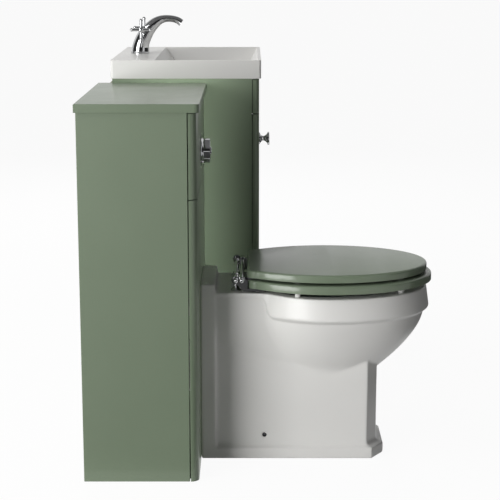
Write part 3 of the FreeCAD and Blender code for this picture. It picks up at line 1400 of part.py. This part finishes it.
failed = [made.Label for made in doc.Objects if "Invalid" in made.State or "Error" in made.State]
failed += [made.Label for made in parts if made.Shape.isNull() or not made.Shape.isValid()]
if failed:
    raise SystemExit("not built: " + ", ".join(failed))
os.makedirs("parts", exist_ok=True)
for made in parts:
    made.Shape.exportStep("parts/%s.step" % made.Label)
print("%d sub-parts" % len(parts))
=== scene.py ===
"""Looks of the combination vanity toilet unit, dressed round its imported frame."""

import json
import math

import bmesh
import bpy
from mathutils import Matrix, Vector


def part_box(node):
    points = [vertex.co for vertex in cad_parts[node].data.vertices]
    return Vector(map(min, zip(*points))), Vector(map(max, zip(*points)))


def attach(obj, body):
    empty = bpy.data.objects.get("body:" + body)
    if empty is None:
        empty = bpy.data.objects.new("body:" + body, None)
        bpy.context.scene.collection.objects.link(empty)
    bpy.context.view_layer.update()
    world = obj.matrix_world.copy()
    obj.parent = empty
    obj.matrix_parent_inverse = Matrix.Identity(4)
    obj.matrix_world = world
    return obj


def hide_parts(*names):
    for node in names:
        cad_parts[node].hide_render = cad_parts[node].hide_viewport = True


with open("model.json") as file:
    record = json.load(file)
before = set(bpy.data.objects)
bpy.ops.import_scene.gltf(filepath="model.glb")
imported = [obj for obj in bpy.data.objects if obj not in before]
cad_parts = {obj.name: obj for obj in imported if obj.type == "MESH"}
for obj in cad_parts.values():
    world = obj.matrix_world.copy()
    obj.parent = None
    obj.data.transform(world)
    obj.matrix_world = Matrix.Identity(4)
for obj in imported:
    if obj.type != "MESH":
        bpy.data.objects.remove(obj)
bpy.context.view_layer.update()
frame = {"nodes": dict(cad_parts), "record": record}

MM = 0.001


class Look:
    """A procedural material, with short ways to add nodes to it."""

    def __init__(self, name, **values):
        self.material = bpy.data.materials.new(name)
        self.material.use_nodes = True
        self.tree = self.material.node_tree
        self.shader = self.tree.nodes["Principled BSDF"]
        for socket, value in values.items():
            self.shader.inputs[socket.replace("_", " ")].default_value = value
        self.place = self.node("ShaderNodeTexCoord").outputs["Object"]

    def node(self, kind, **settings):
        """A new node, with its own settings."""
        made = self.tree.nodes.new(kind)
        for name, value in settings.items():
            setattr(made, name, value)
        return made

    def feed(self, socket, value):
        """Link a socket to an input, or set the input to a constant."""
        if isinstance(value, bpy.types.NodeSocket):
            self.tree.links.new(value, socket)
        else:
            socket.default_value = value

    def set(self, socket, value):
        """Feed one of the surface shader's inputs."""
        self.feed(self.shader.inputs[socket], value)

    def stretched(self, scale):
        """The piece's own coordinates, scaled along each axis."""
        mapping = self.node("ShaderNodeMapping")
        mapping.inputs["Scale"].default_value = scale
        self.feed(mapping.inputs["Vector"], self.place)
        return mapping.outputs["Vector"]

    def noise(self, scale, detail=3.0, roughness=0.5, distortion=0.0, at=None):
        """Cloudy noise from 0 to 1."""
        made = self.node("ShaderNodeTexNoise")
        self.feed(made.inputs["Vector"], at or self.place)
        made.inputs["Scale"].default_value = scale
        made.inputs["Detail"].default_value = detail
        made.inputs["Roughness"].default_value = roughness
        made.inputs["Distortion"].default_value = distortion
        return made.outputs["Fac"]

    def cells(self, scale, at=None, output="Distance"):
        """Cells round scattered points: the distance to the nearest one, or a colour for each."""
        made = self.node("ShaderNodeTexVoronoi")
        self.feed(made.inputs["Vector"], at or self.place)
        made.inputs["Scale"].default_value = scale
        return made.outputs[output]

    def span(self, value, low, high, start=0.0, end=1.0):
        """The part of a value from start to end, spread from low to high."""
        made = self.node("ShaderNodeMapRange")
        self.feed(made.inputs["Value"], value)
        made.inputs["From Min"].default_value = start
        made.inputs["From Max"].default_value = end
        made.inputs["To Min"].default_value = low
        made.inputs["To Max"].default_value = high
        return made.outputs["Result"]

    def maths(self, operation, first, second=0.0):
        """One sum on two values."""
        made = self.node("ShaderNodeMath", operation=operation)
        self.feed(made.inputs[0], first)
        self.feed(made.inputs[1], second)
        return made.outputs["Value"]

    def mixed(self, factor, first, second):
        """A blend from the first colour to the second."""
        made = self.node("ShaderNodeMix", data_type="RGBA")
        self.feed(made.inputs["Factor"], factor)
        self.feed(made.inputs["A"], tinted(first))
        self.feed(made.inputs["B"], tinted(second))
        return made.outputs["Result"]

    def edges(self, radius, sharp=0.02, full=0.3):
        """About 1 along the piece's outer edges and 0 on its faces."""
        bevel = self.node("ShaderNodeBevel", samples=4)
        bevel.inputs["Radius"].default_value = radius
        dot = self.node("ShaderNodeVectorMath", operation="DOT_PRODUCT")
        self.feed(dot.inputs[0], bevel.outputs["Normal"])
        self.feed(dot.inputs[1], self.node("ShaderNodeNewGeometry").outputs["Normal"])
        turned_away = self.maths("SUBTRACT", 1.0, dot.outputs["Value"])
        return self.span(turned_away, 0.0, 1.0, sharp, full)

    def bump(self, height, distance, strength=1.0, over=None):
        """A fine relief, on its own or over another one."""
        made = self.node("ShaderNodeBump")
        made.inputs["Strength"].default_value = strength
        made.inputs["Distance"].default_value = distance
        self.feed(made.inputs["Height"], height)
        if over is not None:
            self.feed(made.inputs["Normal"], over)
        return made.outputs["Normal"]


def tinted(colour):
    """A colour of three numbers gets its full cover; a socket passes through."""
    return (*colour, 1.0) if isinstance(colour, tuple) else colour


def shade(colour, by):
    """The same colour, lighter or darker."""
    return tuple(min(1.0, part * by) for part in colour)


GREEN = (0.158, 0.203, 0.136)
WHITE_GLAZE = (0.742, 0.735, 0.712)
WHITE_PLASTIC = (0.72, 0.72, 0.7)
BLACK_RUBBER = (0.03, 0.03, 0.032)
WHITE_RUBBER = (0.66, 0.66, 0.64)
DARK_CHIP, PALE_CHIP = (0.42, 0.29, 0.17), (0.62, 0.47, 0.3)
EARLY_WOOD, LATE_WOOD = (0.62, 0.44, 0.25), (0.42, 0.26, 0.12)
KNOT, PLANED_WOOD = (0.2, 0.1, 0.045), (0.7, 0.54, 0.34)
CHROME, WATER_SPOT = (0.56, 0.565, 0.575), (0.48, 0.48, 0.48)
DULL_ZINC, BRIGHT_ZINC = (0.5, 0.51, 0.53), (0.7, 0.71, 0.74)
STAIN_COVER = 0.85


def satin_paint(name, colour, roughness=0.42, coat=0.38, gloss=0.2):
    """Sprayed satin paint: fine orange peel, a slow drift of tone and thinner, paler edges."""
    look = Look(name, Specular_IOR_Level=0.4, Coat_Weight=coat, Coat_Roughness=gloss)
    drift = look.span(look.noise(2.3, 4.0), 0.0, 1.0, 0.3, 0.7)
    body = look.mixed(drift, shade(colour, 0.96), shade(colour, 1.04))
    fleck = look.span(look.noise(420.0, 2.0), 0.0, 0.35, 0.45, 0.75)
    body = look.mixed(fleck, body, shade(colour, 0.9))
    edge = look.edges(1.1 * MM)
    patchy = look.span(look.noise(38.0, 5.0), 0.05, 0.3, 0.35, 0.7)
    worn = look.maths("MULTIPLY", edge, patchy)
    look.set("Base Color", look.mixed(worn, body, shade(colour, 1.45)))
    smear = look.noise(9.0, 6.0, 0.6, 0.4)
    look.set("Roughness", look.span(smear, roughness - 0.02, roughness + 0.04, 0.3, 0.7))
    peel = look.noise(650.0, 2.0, 0.45)
    wave = look.bump(look.noise(24.0, 2.0), 0.25 * MM, 0.05)
    look.set("Normal", look.bump(peel, 0.05 * MM, 0.35, wave))
    return look.material


def faced_board(name, colour):
    """Faced board: a dry, close emboss, with flecked chipboard where the edges are left bare."""
    look = Look(name, Specular_IOR_Level=0.4)
    flakes = look.cells(240.0, look.stretched((1.0, 1.0, 2.2)), output="Color")
    chip = look.mixed(flakes, DARK_CHIP, PALE_CHIP)
    bare = look.maths("MULTIPLY", look.edges(1.6 * MM, 0.1, 0.4), 0.35)
    drift = look.span(look.noise(3.0, 4.0), 0.0, 1.0, 0.3, 0.7)
    tone = look.mixed(drift, shade(colour, 0.94), shade(colour, 1.05))
    look.set("Base Color", look.mixed(bare, tone, chip))
    look.set("Roughness", look.span(look.noise(70.0, 4.0), 0.48, 0.62, 0.3, 0.7))
    emboss = look.noise(900.0, 3.0, 0.6, at=look.stretched((1.0, 1.0, 0.25)))
    look.set("Normal", look.bump(emboss, 0.06 * MM, 0.5))
    return look.material


def planed_timber(name, stain):
    """Planed softwood with growth rings and knots, under a thin coat of the cabinet's paint."""
    look = Look(name, Specular_IOR_Level=0.3)
    along = look.stretched((1.2, 26.0, 22.0))
    warp = look.noise(2.0, 3.0, at=along)
    rings = look.node("ShaderNodeTexWave", wave_type="RINGS", rings_direction="X")
    look.feed(rings.inputs["Vector"], along)
    rings.inputs["Scale"].default_value = 1.6
    rings.inputs["Distortion"].default_value = 5.0
    rings.inputs["Detail"].default_value = 3.0
    grain = look.mixed(rings.outputs["Fac"], EARLY_WOOD, LATE_WOOD)
    knots = look.span(look.cells(9.0, look.stretched((0.6, 2.0, 2.0))), 1.0, 0.0, 0.02, 0.14)
    timber = look.mixed(look.maths("MULTIPLY", knots, 0.7), grain, KNOT)
    planed = look.mixed(look.span(warp, 0.0, 0.3, 0.4, 0.8), timber, PLANED_WOOD)
    look.set("Base Color", look.mixed(STAIN_COVER, planed, stain))
    look.set("Roughness", look.span(rings.outputs["Fac"], 0.55, 0.72))
    look.set("Normal", look.bump(rings.outputs["Fac"], 0.12 * MM, 0.4))
    return look.material


def glaze(name, colour):
    """Sanitary glaze over a fine clay body, with a slow ripple, a faint warm pooling and pin specks."""
    look = Look(name, Specular_IOR_Level=0.5, Coat_Weight=0.12, Coat_Roughness=0.22)
    pool = look.span(look.noise(6.0, 3.0), 0.0, 1.0, 0.3, 0.7)
    body = look.mixed(pool, shade(colour, 0.985), colour)
    warmer = (colour[0] * 1.02, colour[1], colour[2] * 0.97)
    warm = look.mixed(look.edges(3.0 * MM, 0.05, 0.5), body, warmer)
    speck = look.span(look.cells(320.0), 0.12, 0.0, 0.02, 0.06)
    look.set("Base Color", look.mixed(speck, warm, shade(colour, 0.72)))
    look.set("Roughness", look.span(look.noise(14.0, 5.0), 0.36, 0.44, 0.3, 0.7))
    ripple = look.noise(26.0, 2.0, 0.4)
    look.set("Normal", look.bump(ripple, 0.2 * MM, 0.06))
    return look.material


def polished_chrome(name):
    """Chrome plate: near mirror, with faint wiping marks, water spots and a slow ripple."""
    look = Look(name, Metallic=1.0)
    spots = look.span(look.cells(210.0), 0.5, 0.0, 0.1, 0.3)
    haze = look.span(look.noise(60.0, 6.0, 0.6, 0.6), 0.0, 1.0, 0.4, 0.75)
    spotted = look.maths("MULTIPLY", spots, haze)
    look.set("Base Color", look.mixed(spotted, CHROME, WATER_SPOT))
    look.set("Roughness", look.span(haze, 0.035, 0.1))
    look.set("Normal", look.bump(look.noise(90.0, 2.0), 0.05 * MM, 0.08))
    return look.material


def zinc_plate(name):
    """Bright zinc plate with a drawn grain and the dull bloom of the plating bath."""
    look = Look(name, Metallic=1.0)
    bloom = look.noise(120.0, 5.0, 0.6)
    tone = look.mixed(bloom, DULL_ZINC, BRIGHT_ZINC)
    look.set("Base Color", tone)
    drawn = look.noise(700.0, 3.0, at=look.stretched((1.0, 1.0, 0.08)))
    look.set("Roughness", look.span(bloom, 0.28, 0.45))
    look.set("Normal", look.bump(drawn, 0.03 * MM, 0.4))
    return look.material


def moulded_plastic(name, colour, roughness=0.4):
    """Moulded plastic with the spark-eroded texture of its tool and a slightly dusty tone."""
    look = Look(name, Specular_IOR_Level=0.45)
    dust = look.span(look.noise(12.0, 6.0, 0.6), 0.0, 1.0, 0.35, 0.7)
    look.set("Base Color", look.mixed(dust, colour, shade(colour, 0.93)))
    matt = look.noise(160.0, 3.0)
    look.set("Roughness", look.span(matt, roughness - 0.06, roughness + 0.1, 0.3, 0.7))
    look.set("Normal", look.bump(look.noise(1500.0, 2.0), 0.04 * MM, 0.45))
    return look.material


def moulded_rubber(name, colour):
    """Soft rubber: dull, with a bloom in its hollows and a fine skin."""
    look = Look(name, Specular_IOR_Level=0.3)
    bloom = look.span(look.noise(85.0, 6.0, 0.65), 0.0, 0.5, 0.45, 0.8)
    look.set("Base Color", look.mixed(bloom, colour, shade(colour, 1.3)))
    look.set("Roughness", look.span(look.noise(240.0, 3.0), 0.6, 0.8, 0.3, 0.7))
    look.set("Normal", look.bump(look.noise(900.0, 3.0), 0.06 * MM, 0.6))
    return look.material


LOOKS = {
    "green_board": satin_paint("green_board", GREEN),
    "green_worktop": satin_paint("green_worktop", GREEN, 0.36, 0.42),
    "seat_paint": satin_paint("seat_paint", GREEN, 0.5, 0.58, 0.14),
    "carcass_board": faced_board("carcass_board", GREEN),
    "softwood": planed_timber("softwood", GREEN),
    "zinc_steel": zinc_plate("zinc_steel"),
    "chrome": polished_chrome("chrome"),
    "white_plastic": moulded_plastic("white_plastic", WHITE_PLASTIC),
    "rubber": moulded_rubber("rubber", BLACK_RUBBER),
    "buffer_rubber": moulded_rubber("buffer_rubber", WHITE_RUBBER),
    "sanitary_ceramic": glaze("sanitary_ceramic", WHITE_GLAZE),
}


SEAM = 0.002 * MM
CREASE = math.radians(28)
BEVEL_STEPS = 3
EDGE_ROUNDING = {
    "green_board": 0.9, "green_worktop": 0.9, "carcass_board": 0.5, "softwood": 1.0, "zinc_steel": 0.0,
    "chrome": 0.0, "white_plastic": 0.0, "rubber": 0.0, "seat_paint": 0.0, "buffer_rubber": 0.0,
    "sanitary_ceramic": 2.2,
}


def smoothing_group():
    """Closes the seams between a node's faces, and shades it smooth except at its real edges."""
    group = bpy.data.node_groups.new("cad_smoothing", "GeometryNodeTree")
    group.interface.new_socket("Geometry", in_out="INPUT", socket_type="NodeSocketGeometry")
    group.interface.new_socket("Geometry", in_out="OUTPUT", socket_type="NodeSocketGeometry")

    def node(kind, **inputs):
        made = group.nodes.new(kind)
        for name, value in inputs.items():
            made.inputs[name.replace("_", " ")].default_value = value
        return made

    merge = node("GeometryNodeMergeByDistance", Distance=SEAM)
    strip = node("GeometryNodeRemoveAttribute", Name="custom_normal")
    smooth = node("GeometryNodeSetShadeSmooth", Shade_Smooth=True)
    crease = node("GeometryNodeSetShadeSmooth", Shade_Smooth=False)
    crease.domain = "EDGE"
    turn = node("GeometryNodeInputMeshEdgeAngle")
    sharp = node("FunctionNodeCompare")
    sharp.operation = "GREATER_THAN"
    sharp.inputs["B"].default_value = CREASE
    joins = [
        (turn.outputs["Unsigned Angle"], sharp.inputs["A"]),
        (sharp.outputs["Result"], crease.inputs["Selection"]),
    ]
    chain = [node("NodeGroupInput"), merge, strip, smooth, crease, node("NodeGroupOutput")]
    for before, after in zip(chain, chain[1:]):
        joins.append((before.outputs["Geometry"], after.inputs["Geometry"]))
    for source, target in joins:
        group.links.new(source, target)
    return group


SMOOTHING = smoothing_group()


def soften(obj, width):
    """Rounds the real edges of a piece by a width in millimetres, so that they catch the light."""
    obj.modifiers.new("smoothing", "NODES").node_group = SMOOTHING
    if width:
        bevel = obj.modifiers.new("edges", "BEVEL")
        bevel.width = width * MM
        bevel.segments = BEVEL_STEPS
        bevel.limit_method = "ANGLE"
        bevel.angle_limit = CREASE
        bevel.loop_slide = False
        bevel.harden_normals = True


def dress_nodes():
    """Every CAD node gets the look of its slot and its softened edges."""
    for piece in frame["record"]["subparts"]:
        obj = frame["nodes"][piece["node"]]
        slot = piece["material_slot"]
        obj.data.materials.clear()
        obj.data.materials.append(LOOKS[slot])
        soften(obj, EDGE_ROUNDING[slot])


COLUMN_HALF = 93 * MM
KILN_PULL = 0.5
ROLL_STEPS = 10
STRIP_INSET = 4 * MM
STRIP_CLEAR = 0.4 * MM
STRIP_WIDTH = 7 * MM
STRIP_FILL = 0.99
STRIP_STEPS = 10
# Sizes of the dark sleeves in the pan's screw holes, which are painted shade for the holes' insides.
SHADE_SLEEVE_WALL = 1.1 * MM
SHADE_SLEEVE_PROUD = 0.5 * MM
SHADE_SLEEVE_ROUND = 0.4 * MM
SHADE_SLEEVE_CLEAR = 0.25 * MM
SHADE_SLEEVE_STEPS = 32


def linked(name, mesh, slot, body):
    """A new piece in the scene that rides on a body and has the look of a slot."""
    obj = bpy.data.objects.new(name, mesh)
    bpy.context.scene.collection.objects.link(obj)
    mesh.materials.clear()
    mesh.materials.append(LOOKS[slot])
    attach(obj, body)
    return obj


def fired(node, voxel, rounds):
    """A ceramic node as it comes from the kiln: the glaze has drawn every edge round.
    Its skin is remeshed at a voxel in millimetres, then smoothed for a number of rounds."""
    draft = bpy.data.objects.new(node + "_draft", frame["nodes"][node].data.copy())
    bpy.context.scene.collection.objects.link(draft)
    draft.modifiers.new("seams", "WELD").merge_threshold = SEAM
    remesh = draft.modifiers.new("skin", "REMESH")
    remesh.mode = "VOXEL"
    remesh.voxel_size = voxel * MM
    remesh.use_smooth_shade = True
    flow = draft.modifiers.new("flow", "SMOOTH")
    flow.factor = KILN_PULL
    flow.iterations = rounds
    evaluated = draft.evaluated_get(bpy.context.evaluated_depsgraph_get())
    mesh = bpy.data.meshes.new_from_object(evaluated)
    mesh.name = node + "_fired"
    bpy.data.objects.remove(draft)
    piece = linked(node + "_fired", mesh, "sanitary_ceramic", "cabinet")
    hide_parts(node)


def edge_strip(name, board, body):
    """A soft strip on the back of a front board that meets the cabinet's edge."""
    low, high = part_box(board)
    side_low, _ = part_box("vanity_left_side")
    back = high[1]
    thick = (side_low[1] - back) * STRIP_FILL
    start = side_low[0] + STRIP_INSET
    profile = []
    for step in range(STRIP_STEPS + 1):
        turn = math.pi * step / STRIP_STEPS
        across = start + STRIP_WIDTH * (1 - math.cos(turn)) / 2
        profile.append((across, back + thick * math.sin(turn) ** 0.5))
    made = bmesh.new()
    rings = []
    for height in (low[2] + STRIP_CLEAR, high[2] - STRIP_CLEAR):
        rings.append([made.verts.new((x, y, height)) for x, y in profile])
    count = len(profile)
    for number in range(count):
        after = (number + 1) % count
        made.faces.new((rings[0][number], rings[0][after], rings[1][after], rings[1][number]))
    made.faces.new(rings[0][::-1])
    made.faces.new(rings[1])
    bmesh.ops.recalc_face_normals(made, faces=made.faces)
    mesh = bpy.data.meshes.new(name)
    made.to_mesh(mesh)
    made.free()
    linked(name, mesh, "rubber", body)


def rolled(node, radius):
    """A front board whose upright edges are rolled over in one full curve."""
    low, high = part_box(node)
    made = bmesh.new()
    made.from_mesh(frame["nodes"][node].data)
    bmesh.ops.remove_doubles(made, verts=made.verts, dist=SEAM)
    for step in range(1, ROLL_STEPS):
        inset = radius * (1 - math.cos(math.pi / 2 * step / ROLL_STEPS))
        for x in (low[0] + inset, high[0] - inset):
            everything = made.verts[:] + made.edges[:] + made.faces[:]
            bmesh.ops.bisect_plane(made, geom=everything, plane_co=(x, 0, 0), plane_no=(1, 0, 0))
    for vert in made.verts:
        rest = radius - min(vert.co.x - low[0], high[0] - vert.co.x)
        if rest > 0:
            curve = math.sqrt(max(radius ** 2 - rest ** 2, 0.0))
            vert.co.y = max(vert.co.y, low[1] + radius - curve)
    bmesh.ops.dissolve_degenerate(made, edges=made.edges, dist=SEAM)
    mesh = bpy.data.meshes.new(node + "_rolled")
    made.to_mesh(mesh)
    made.free()
    piece = linked(node + "_rolled", mesh, "green_board", "cabinet")
    soften(piece, EDGE_ROUNDING["green_board"])
    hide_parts(node)


def turned(name, profile, steps, slot, body, places):
    """Round pieces about the X axis: each place is a point and 1 or -1 for the way the profile runs."""
    made = bmesh.new()
    for (x, y, z), way in places:
        rings = []
        for along, radius in profile:
            ring = []
            for step in range(steps):
                turn = 2 * math.pi * step / steps
                at = (x + way * along, y + radius * math.cos(turn), z + radius * math.sin(turn))
                ring.append(made.verts.new(at))
            rings.append(ring)
        for first, second in zip(rings, rings[1:] + rings[:1]):
            for step in range(steps):
                after = (step + 1) % steps
                made.faces.new((first[step], first[after], second[after], second[step]))
    bmesh.ops.recalc_face_normals(made, faces=made.faces)
    for face in made.faces:
        face.smooth = True
    mesh = bpy.data.meshes.new(name)
    made.to_mesh(mesh)
    made.free()
    linked(name, mesh, slot, body)


def painted_hole_shade():
    """Dark sleeves in the pan's side holes, round the heads of the fixing screws: painted shade,
    rubber-look rings that stand in for the shadow inside the holes.
    """
    low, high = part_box("pan_fixing_screws")
    middle = (low[0] + high[0]) / 2
    depth, height = (low[1] + high[1]) / 2, (low[2] + high[2]) / 2
    outer = (high[2] - low[2]) / 2 + SHADE_SLEEVE_CLEAR
    inner = outer - SHADE_SLEEVE_WALL
    sunk = COLUMN_HALF - (middle - low[0])
    profile = [
        (sunk, inner), (sunk, outer), (-SHADE_SLEEVE_PROUD, outer),
        (-SHADE_SLEEVE_PROUD - SHADE_SLEEVE_ROUND, outer - SHADE_SLEEVE_ROUND), (-SHADE_SLEEVE_PROUD, inner),
    ]
    places = [((middle + side * COLUMN_HALF, depth, height), -side) for side in (-1, 1)]
    # The dark rubber look on these sleeves is painted shade inside the holes.
    turned("pan_screw_bushes", profile, SHADE_SLEEVE_STEPS, "rubber", "cabinet", places)


def level(x, y, height):
    """Corners of a level rectangle between limits across and along."""
    return [(x[0], y[0], height), (x[1], y[0], height), (x[1], y[1], height), (x[0], y[1], height)]


def upright_across(x, y, z):
    """Corners of an upright rectangle that faces along Y."""
    return [(x[0], y, z[0]), (x[1], y, z[0]), (x[1], y, z[1]), (x[0], y, z[1])]


def upright_along(x, y, z):
    """Corners of an upright rectangle that faces along X."""
    return [(x, y[0], z[0]), (x, y[1], z[0]), (x, y[1], z[1]), (x, y[0], z[1])]


SENSOR = 36.0
LENS = 102.43
CAMERA_PLACE = (-3.42066, 0.02421, 1.12342)
CAMERA_DIP = 11.763
AMBIENT = 0.06
SKY = (0.97, 0.985, 1.0, 1.0)
WHITE = (1.0, 1.0, 1.0, 1.0)
FLOOR_REACH = 90.0
FLOOR_DROP = -0.0005
FLOOR_TONES = (0.84, 0.84, 0.84), (0.88, 0.88, 0.88)
FLOOR_WHITE = 0.945
FLOOR_BOUNCE = 0.45
CARD_TONES = (0.035, 0.035, 0.035), (0.05, 0.05, 0.05)
CARD_LIFT = 0.004
CEILING = 3.1
GREY_GLOW = 0.13
DARK_CARDS = [
    level((0.62, 5.0), (-4.0, 0.37), CARD_LIFT),
    level((-0.5, 0.6), (-4.0, -0.6), CARD_LIFT),
    upright_across((-3.0, 3.5), -4.5, (0.0, 2.4)),
    upright_along(-4.2, (-2.4, -1.1), (0.0, 3.0)),
    upright_along(-5.0, (-3.0, 3.0), (0.87, CEILING)),
    upright_along(-5.0, (-3.0, 3.0), (0.0, 0.48)),
    level((-5.0, -0.55), (-0.6, 1.6), CARD_LIFT),
    upright_across((-5.0, 1.0), 3.2, (0.0, CEILING)),
]
GREY_CARDS = [level((-5.0, 1.5), (-3.0, 3.2), CEILING)]
VANITY_BOARDS = ("vanity_left_side", "vanity_door", "vanity_fascia")
FRONTS = (
    "vanity_door", "vanity_fascia", "wc_access_panel_rolled", "wc_lower_panel_rolled",
    "wc_worktop", "basin",
)
LAMPS = [
    dict(name="key", place=(-3.1, 2.4, 0.95), aim=(-0.2, 0.0, 0.45), size=(2.0, 2.0), power=126.0),
    dict(name="strip", place=(-1.0, -0.1, 0.62), aim=(0.0, 0.2, 0.62), size=(0.03, 1.0), power=0.76,
         spread=22.0, only=VANITY_BOARDS, mirrored=False),
    dict(name="pan_fill", place=(-2.2, -1.6, 0.5), aim=(-0.3, -0.12, 0.25), size=(0.3, 0.3),
         power=0.045, spread=14.0, mirrored=False),
    dict(name="top", place=(-0.8, 2.0, 3.3), aim=(-0.2, 0.0, 0.5), size=(2.2, 2.0), power=64.0),
    dict(name="far", place=(3.5, 0.75, 2.4), aim=(-0.2, -0.1, 0.5), size=(1.5, 1.5), power=65.0,
         mirrored=False),
    dict(name="front", place=(1.9, -3.2, 0.45), aim=(0.0, 0.0, 0.5), size=(2.0, 0.6), power=32.0,
         only=FRONTS, mirrored=False),
]
PANEL_ROLL = 18 * MM
PAN_VOXEL = 2.5
PAN_ROUNDS = 8


def camera():
    """The photograph's view: square on to the left side, a little above the basin."""
    data = bpy.data.cameras.new("photo_camera")
    data.sensor_width = SENSOR
    data.lens = LENS
    obj = bpy.data.objects.new("photo_camera", data)
    bpy.context.scene.collection.objects.link(obj)
    obj.location = CAMERA_PLACE
    obj.rotation_euler = (math.radians(90 - CAMERA_DIP), 0, math.radians(-90))
    bpy.context.scene.camera = obj


def lamp(name, place, aim, size, power, spread=180.0, only=(), mirrored=True):
    """A soft rectangular studio lamp, which may light only some pieces or stay out of reflections."""
    data = bpy.data.lights.new(name, "AREA")
    data.shape = "RECTANGLE"
    data.size, data.size_y = size
    data.energy = power
    data.spread = math.radians(spread)
    obj = bpy.data.objects.new(name, data)
    bpy.context.scene.collection.objects.link(obj)
    obj.location = place
    obj.rotation_euler = (Vector(aim) - Vector(place)).to_track_quat("-Z", "Y").to_euler()
    obj.visible_glossy = mirrored
    if only:
        lit = bpy.data.collections.new(name + "_lit")
        for piece in only:
            lit.objects.link(bpy.data.objects[piece])
        obj.light_linking.receiver_collection = lit
        obj.light_linking.blocker_collection = lit


def seen_rays(tree):
    """1 for the rays that show the background: from the camera, mirrored or passing through."""
    path = tree.nodes.new("ShaderNodeLightPath")
    total = path.outputs["Is Camera Ray"]
    for name in ("Is Glossy Ray", "Is Transmission Ray"):
        highest = tree.nodes.new("ShaderNodeMath")
        highest.operation = "MAXIMUM"
        tree.links.new(total, highest.inputs[0])
        tree.links.new(path.outputs[name], highest.inputs[1])
        total = highest.outputs["Value"]
    return total


def surroundings():
    """Soft light from all round; what shows behind the object is white."""
    world = bpy.data.worlds.new("studio")
    bpy.context.scene.world = world
    world.use_nodes = True
    tree = world.node_tree
    light = tree.nodes["Background"]
    light.inputs["Color"].default_value = SKY
    light.inputs["Strength"].default_value = AMBIENT
    white = tree.nodes.new("ShaderNodeBackground")
    white.inputs["Strength"].default_value = 1.0
    mix = tree.nodes.new("ShaderNodeMixShader")
    tree.links.new(seen_rays(tree), mix.inputs["Fac"])
    tree.links.new(light.outputs["Background"], mix.inputs[1])
    tree.links.new(white.outputs["Background"], mix.inputs[2])
    tree.links.new(mix.outputs["Shader"], tree.nodes["World Output"].inputs["Surface"])


def sheet_mesh(name, corners, material):
    """A flat four-cornered stage piece."""
    mesh = bpy.data.meshes.new(name)
    mesh.from_pydata(corners, [], [(0, 1, 2, 3)])
    mesh.materials.append(material)
    obj = bpy.data.objects.new(name, mesh)
    bpy.context.scene.collection.objects.link(obj)
    return obj


def floor():
    """A pale floor that runs out of sight and takes a light shadow."""
    look = Look("floor", Roughness=0.9, Specular_IOR_Level=0.1)
    grain = look.noise(30.0, 4.0)
    pale = look.mixed(grain, *FLOOR_TONES)
    tree = look.tree
    seen = seen_rays(tree)
    look.set("Base Color", look.mixed(seen, (FLOOR_BOUNCE,) * 3, pale))
    white = tree.nodes.new("ShaderNodeEmission")
    white.inputs["Strength"].default_value = 1.0
    share = look.maths("MULTIPLY", seen, FLOOR_WHITE)
    mix = tree.nodes.new("ShaderNodeMixShader")
    tree.links.new(share, mix.inputs["Fac"])
    tree.links.new(look.shader.outputs["BSDF"], mix.inputs[1])
    tree.links.new(white.outputs["Emission"], mix.inputs[2])
    tree.links.new(mix.outputs["Shader"], tree.nodes["Material Output"].inputs["Surface"])
    reach = (-FLOOR_REACH, FLOOR_REACH)
    sheet_mesh("floor", level(reach, reach, FLOOR_DROP), look.material)


def cards(name, glow, places):
    """Cards round the set, which only polished surfaces mirror, as in a product studio."""
    look = Look(name, Roughness=0.9)
    weave = look.noise(40.0, 3.0)
    look.set("Base Color", look.mixed(weave, *CARD_TONES))
    look.shader.inputs["Emission Color"].default_value = WHITE
    look.shader.inputs["Emission Strength"].default_value = glow
    for number, corners in enumerate(places):
        card = sheet_mesh("%s_%d" % (name, number), corners, look.material)
        card.visible_camera = False
        card.visible_diffuse = False
        card.visible_transmission = False
        card.visible_shadow = False


dress_nodes()
fired("toilet_pan", PAN_VOXEL, PAN_ROUNDS)
rolled("wc_access_panel", PANEL_ROLL)
rolled("wc_lower_panel", PANEL_ROLL)
edge_strip("door_strip", "vanity_door", "door")
edge_strip("fascia_strip", "vanity_fascia", "cabinet")
# Painted shade: dark sleeves make the pan's screw holes read dark.
painted_hole_shade()
camera()
surroundings()
floor()
cards("dark_card", 0.0, DARK_CARDS)
cards("grey_card", GREY_GLOW, GREY_CARDS)
for settings in LAMPS:
    lamp(**settings)
bpy.context.scene.view_settings.view_transform = "Standard"
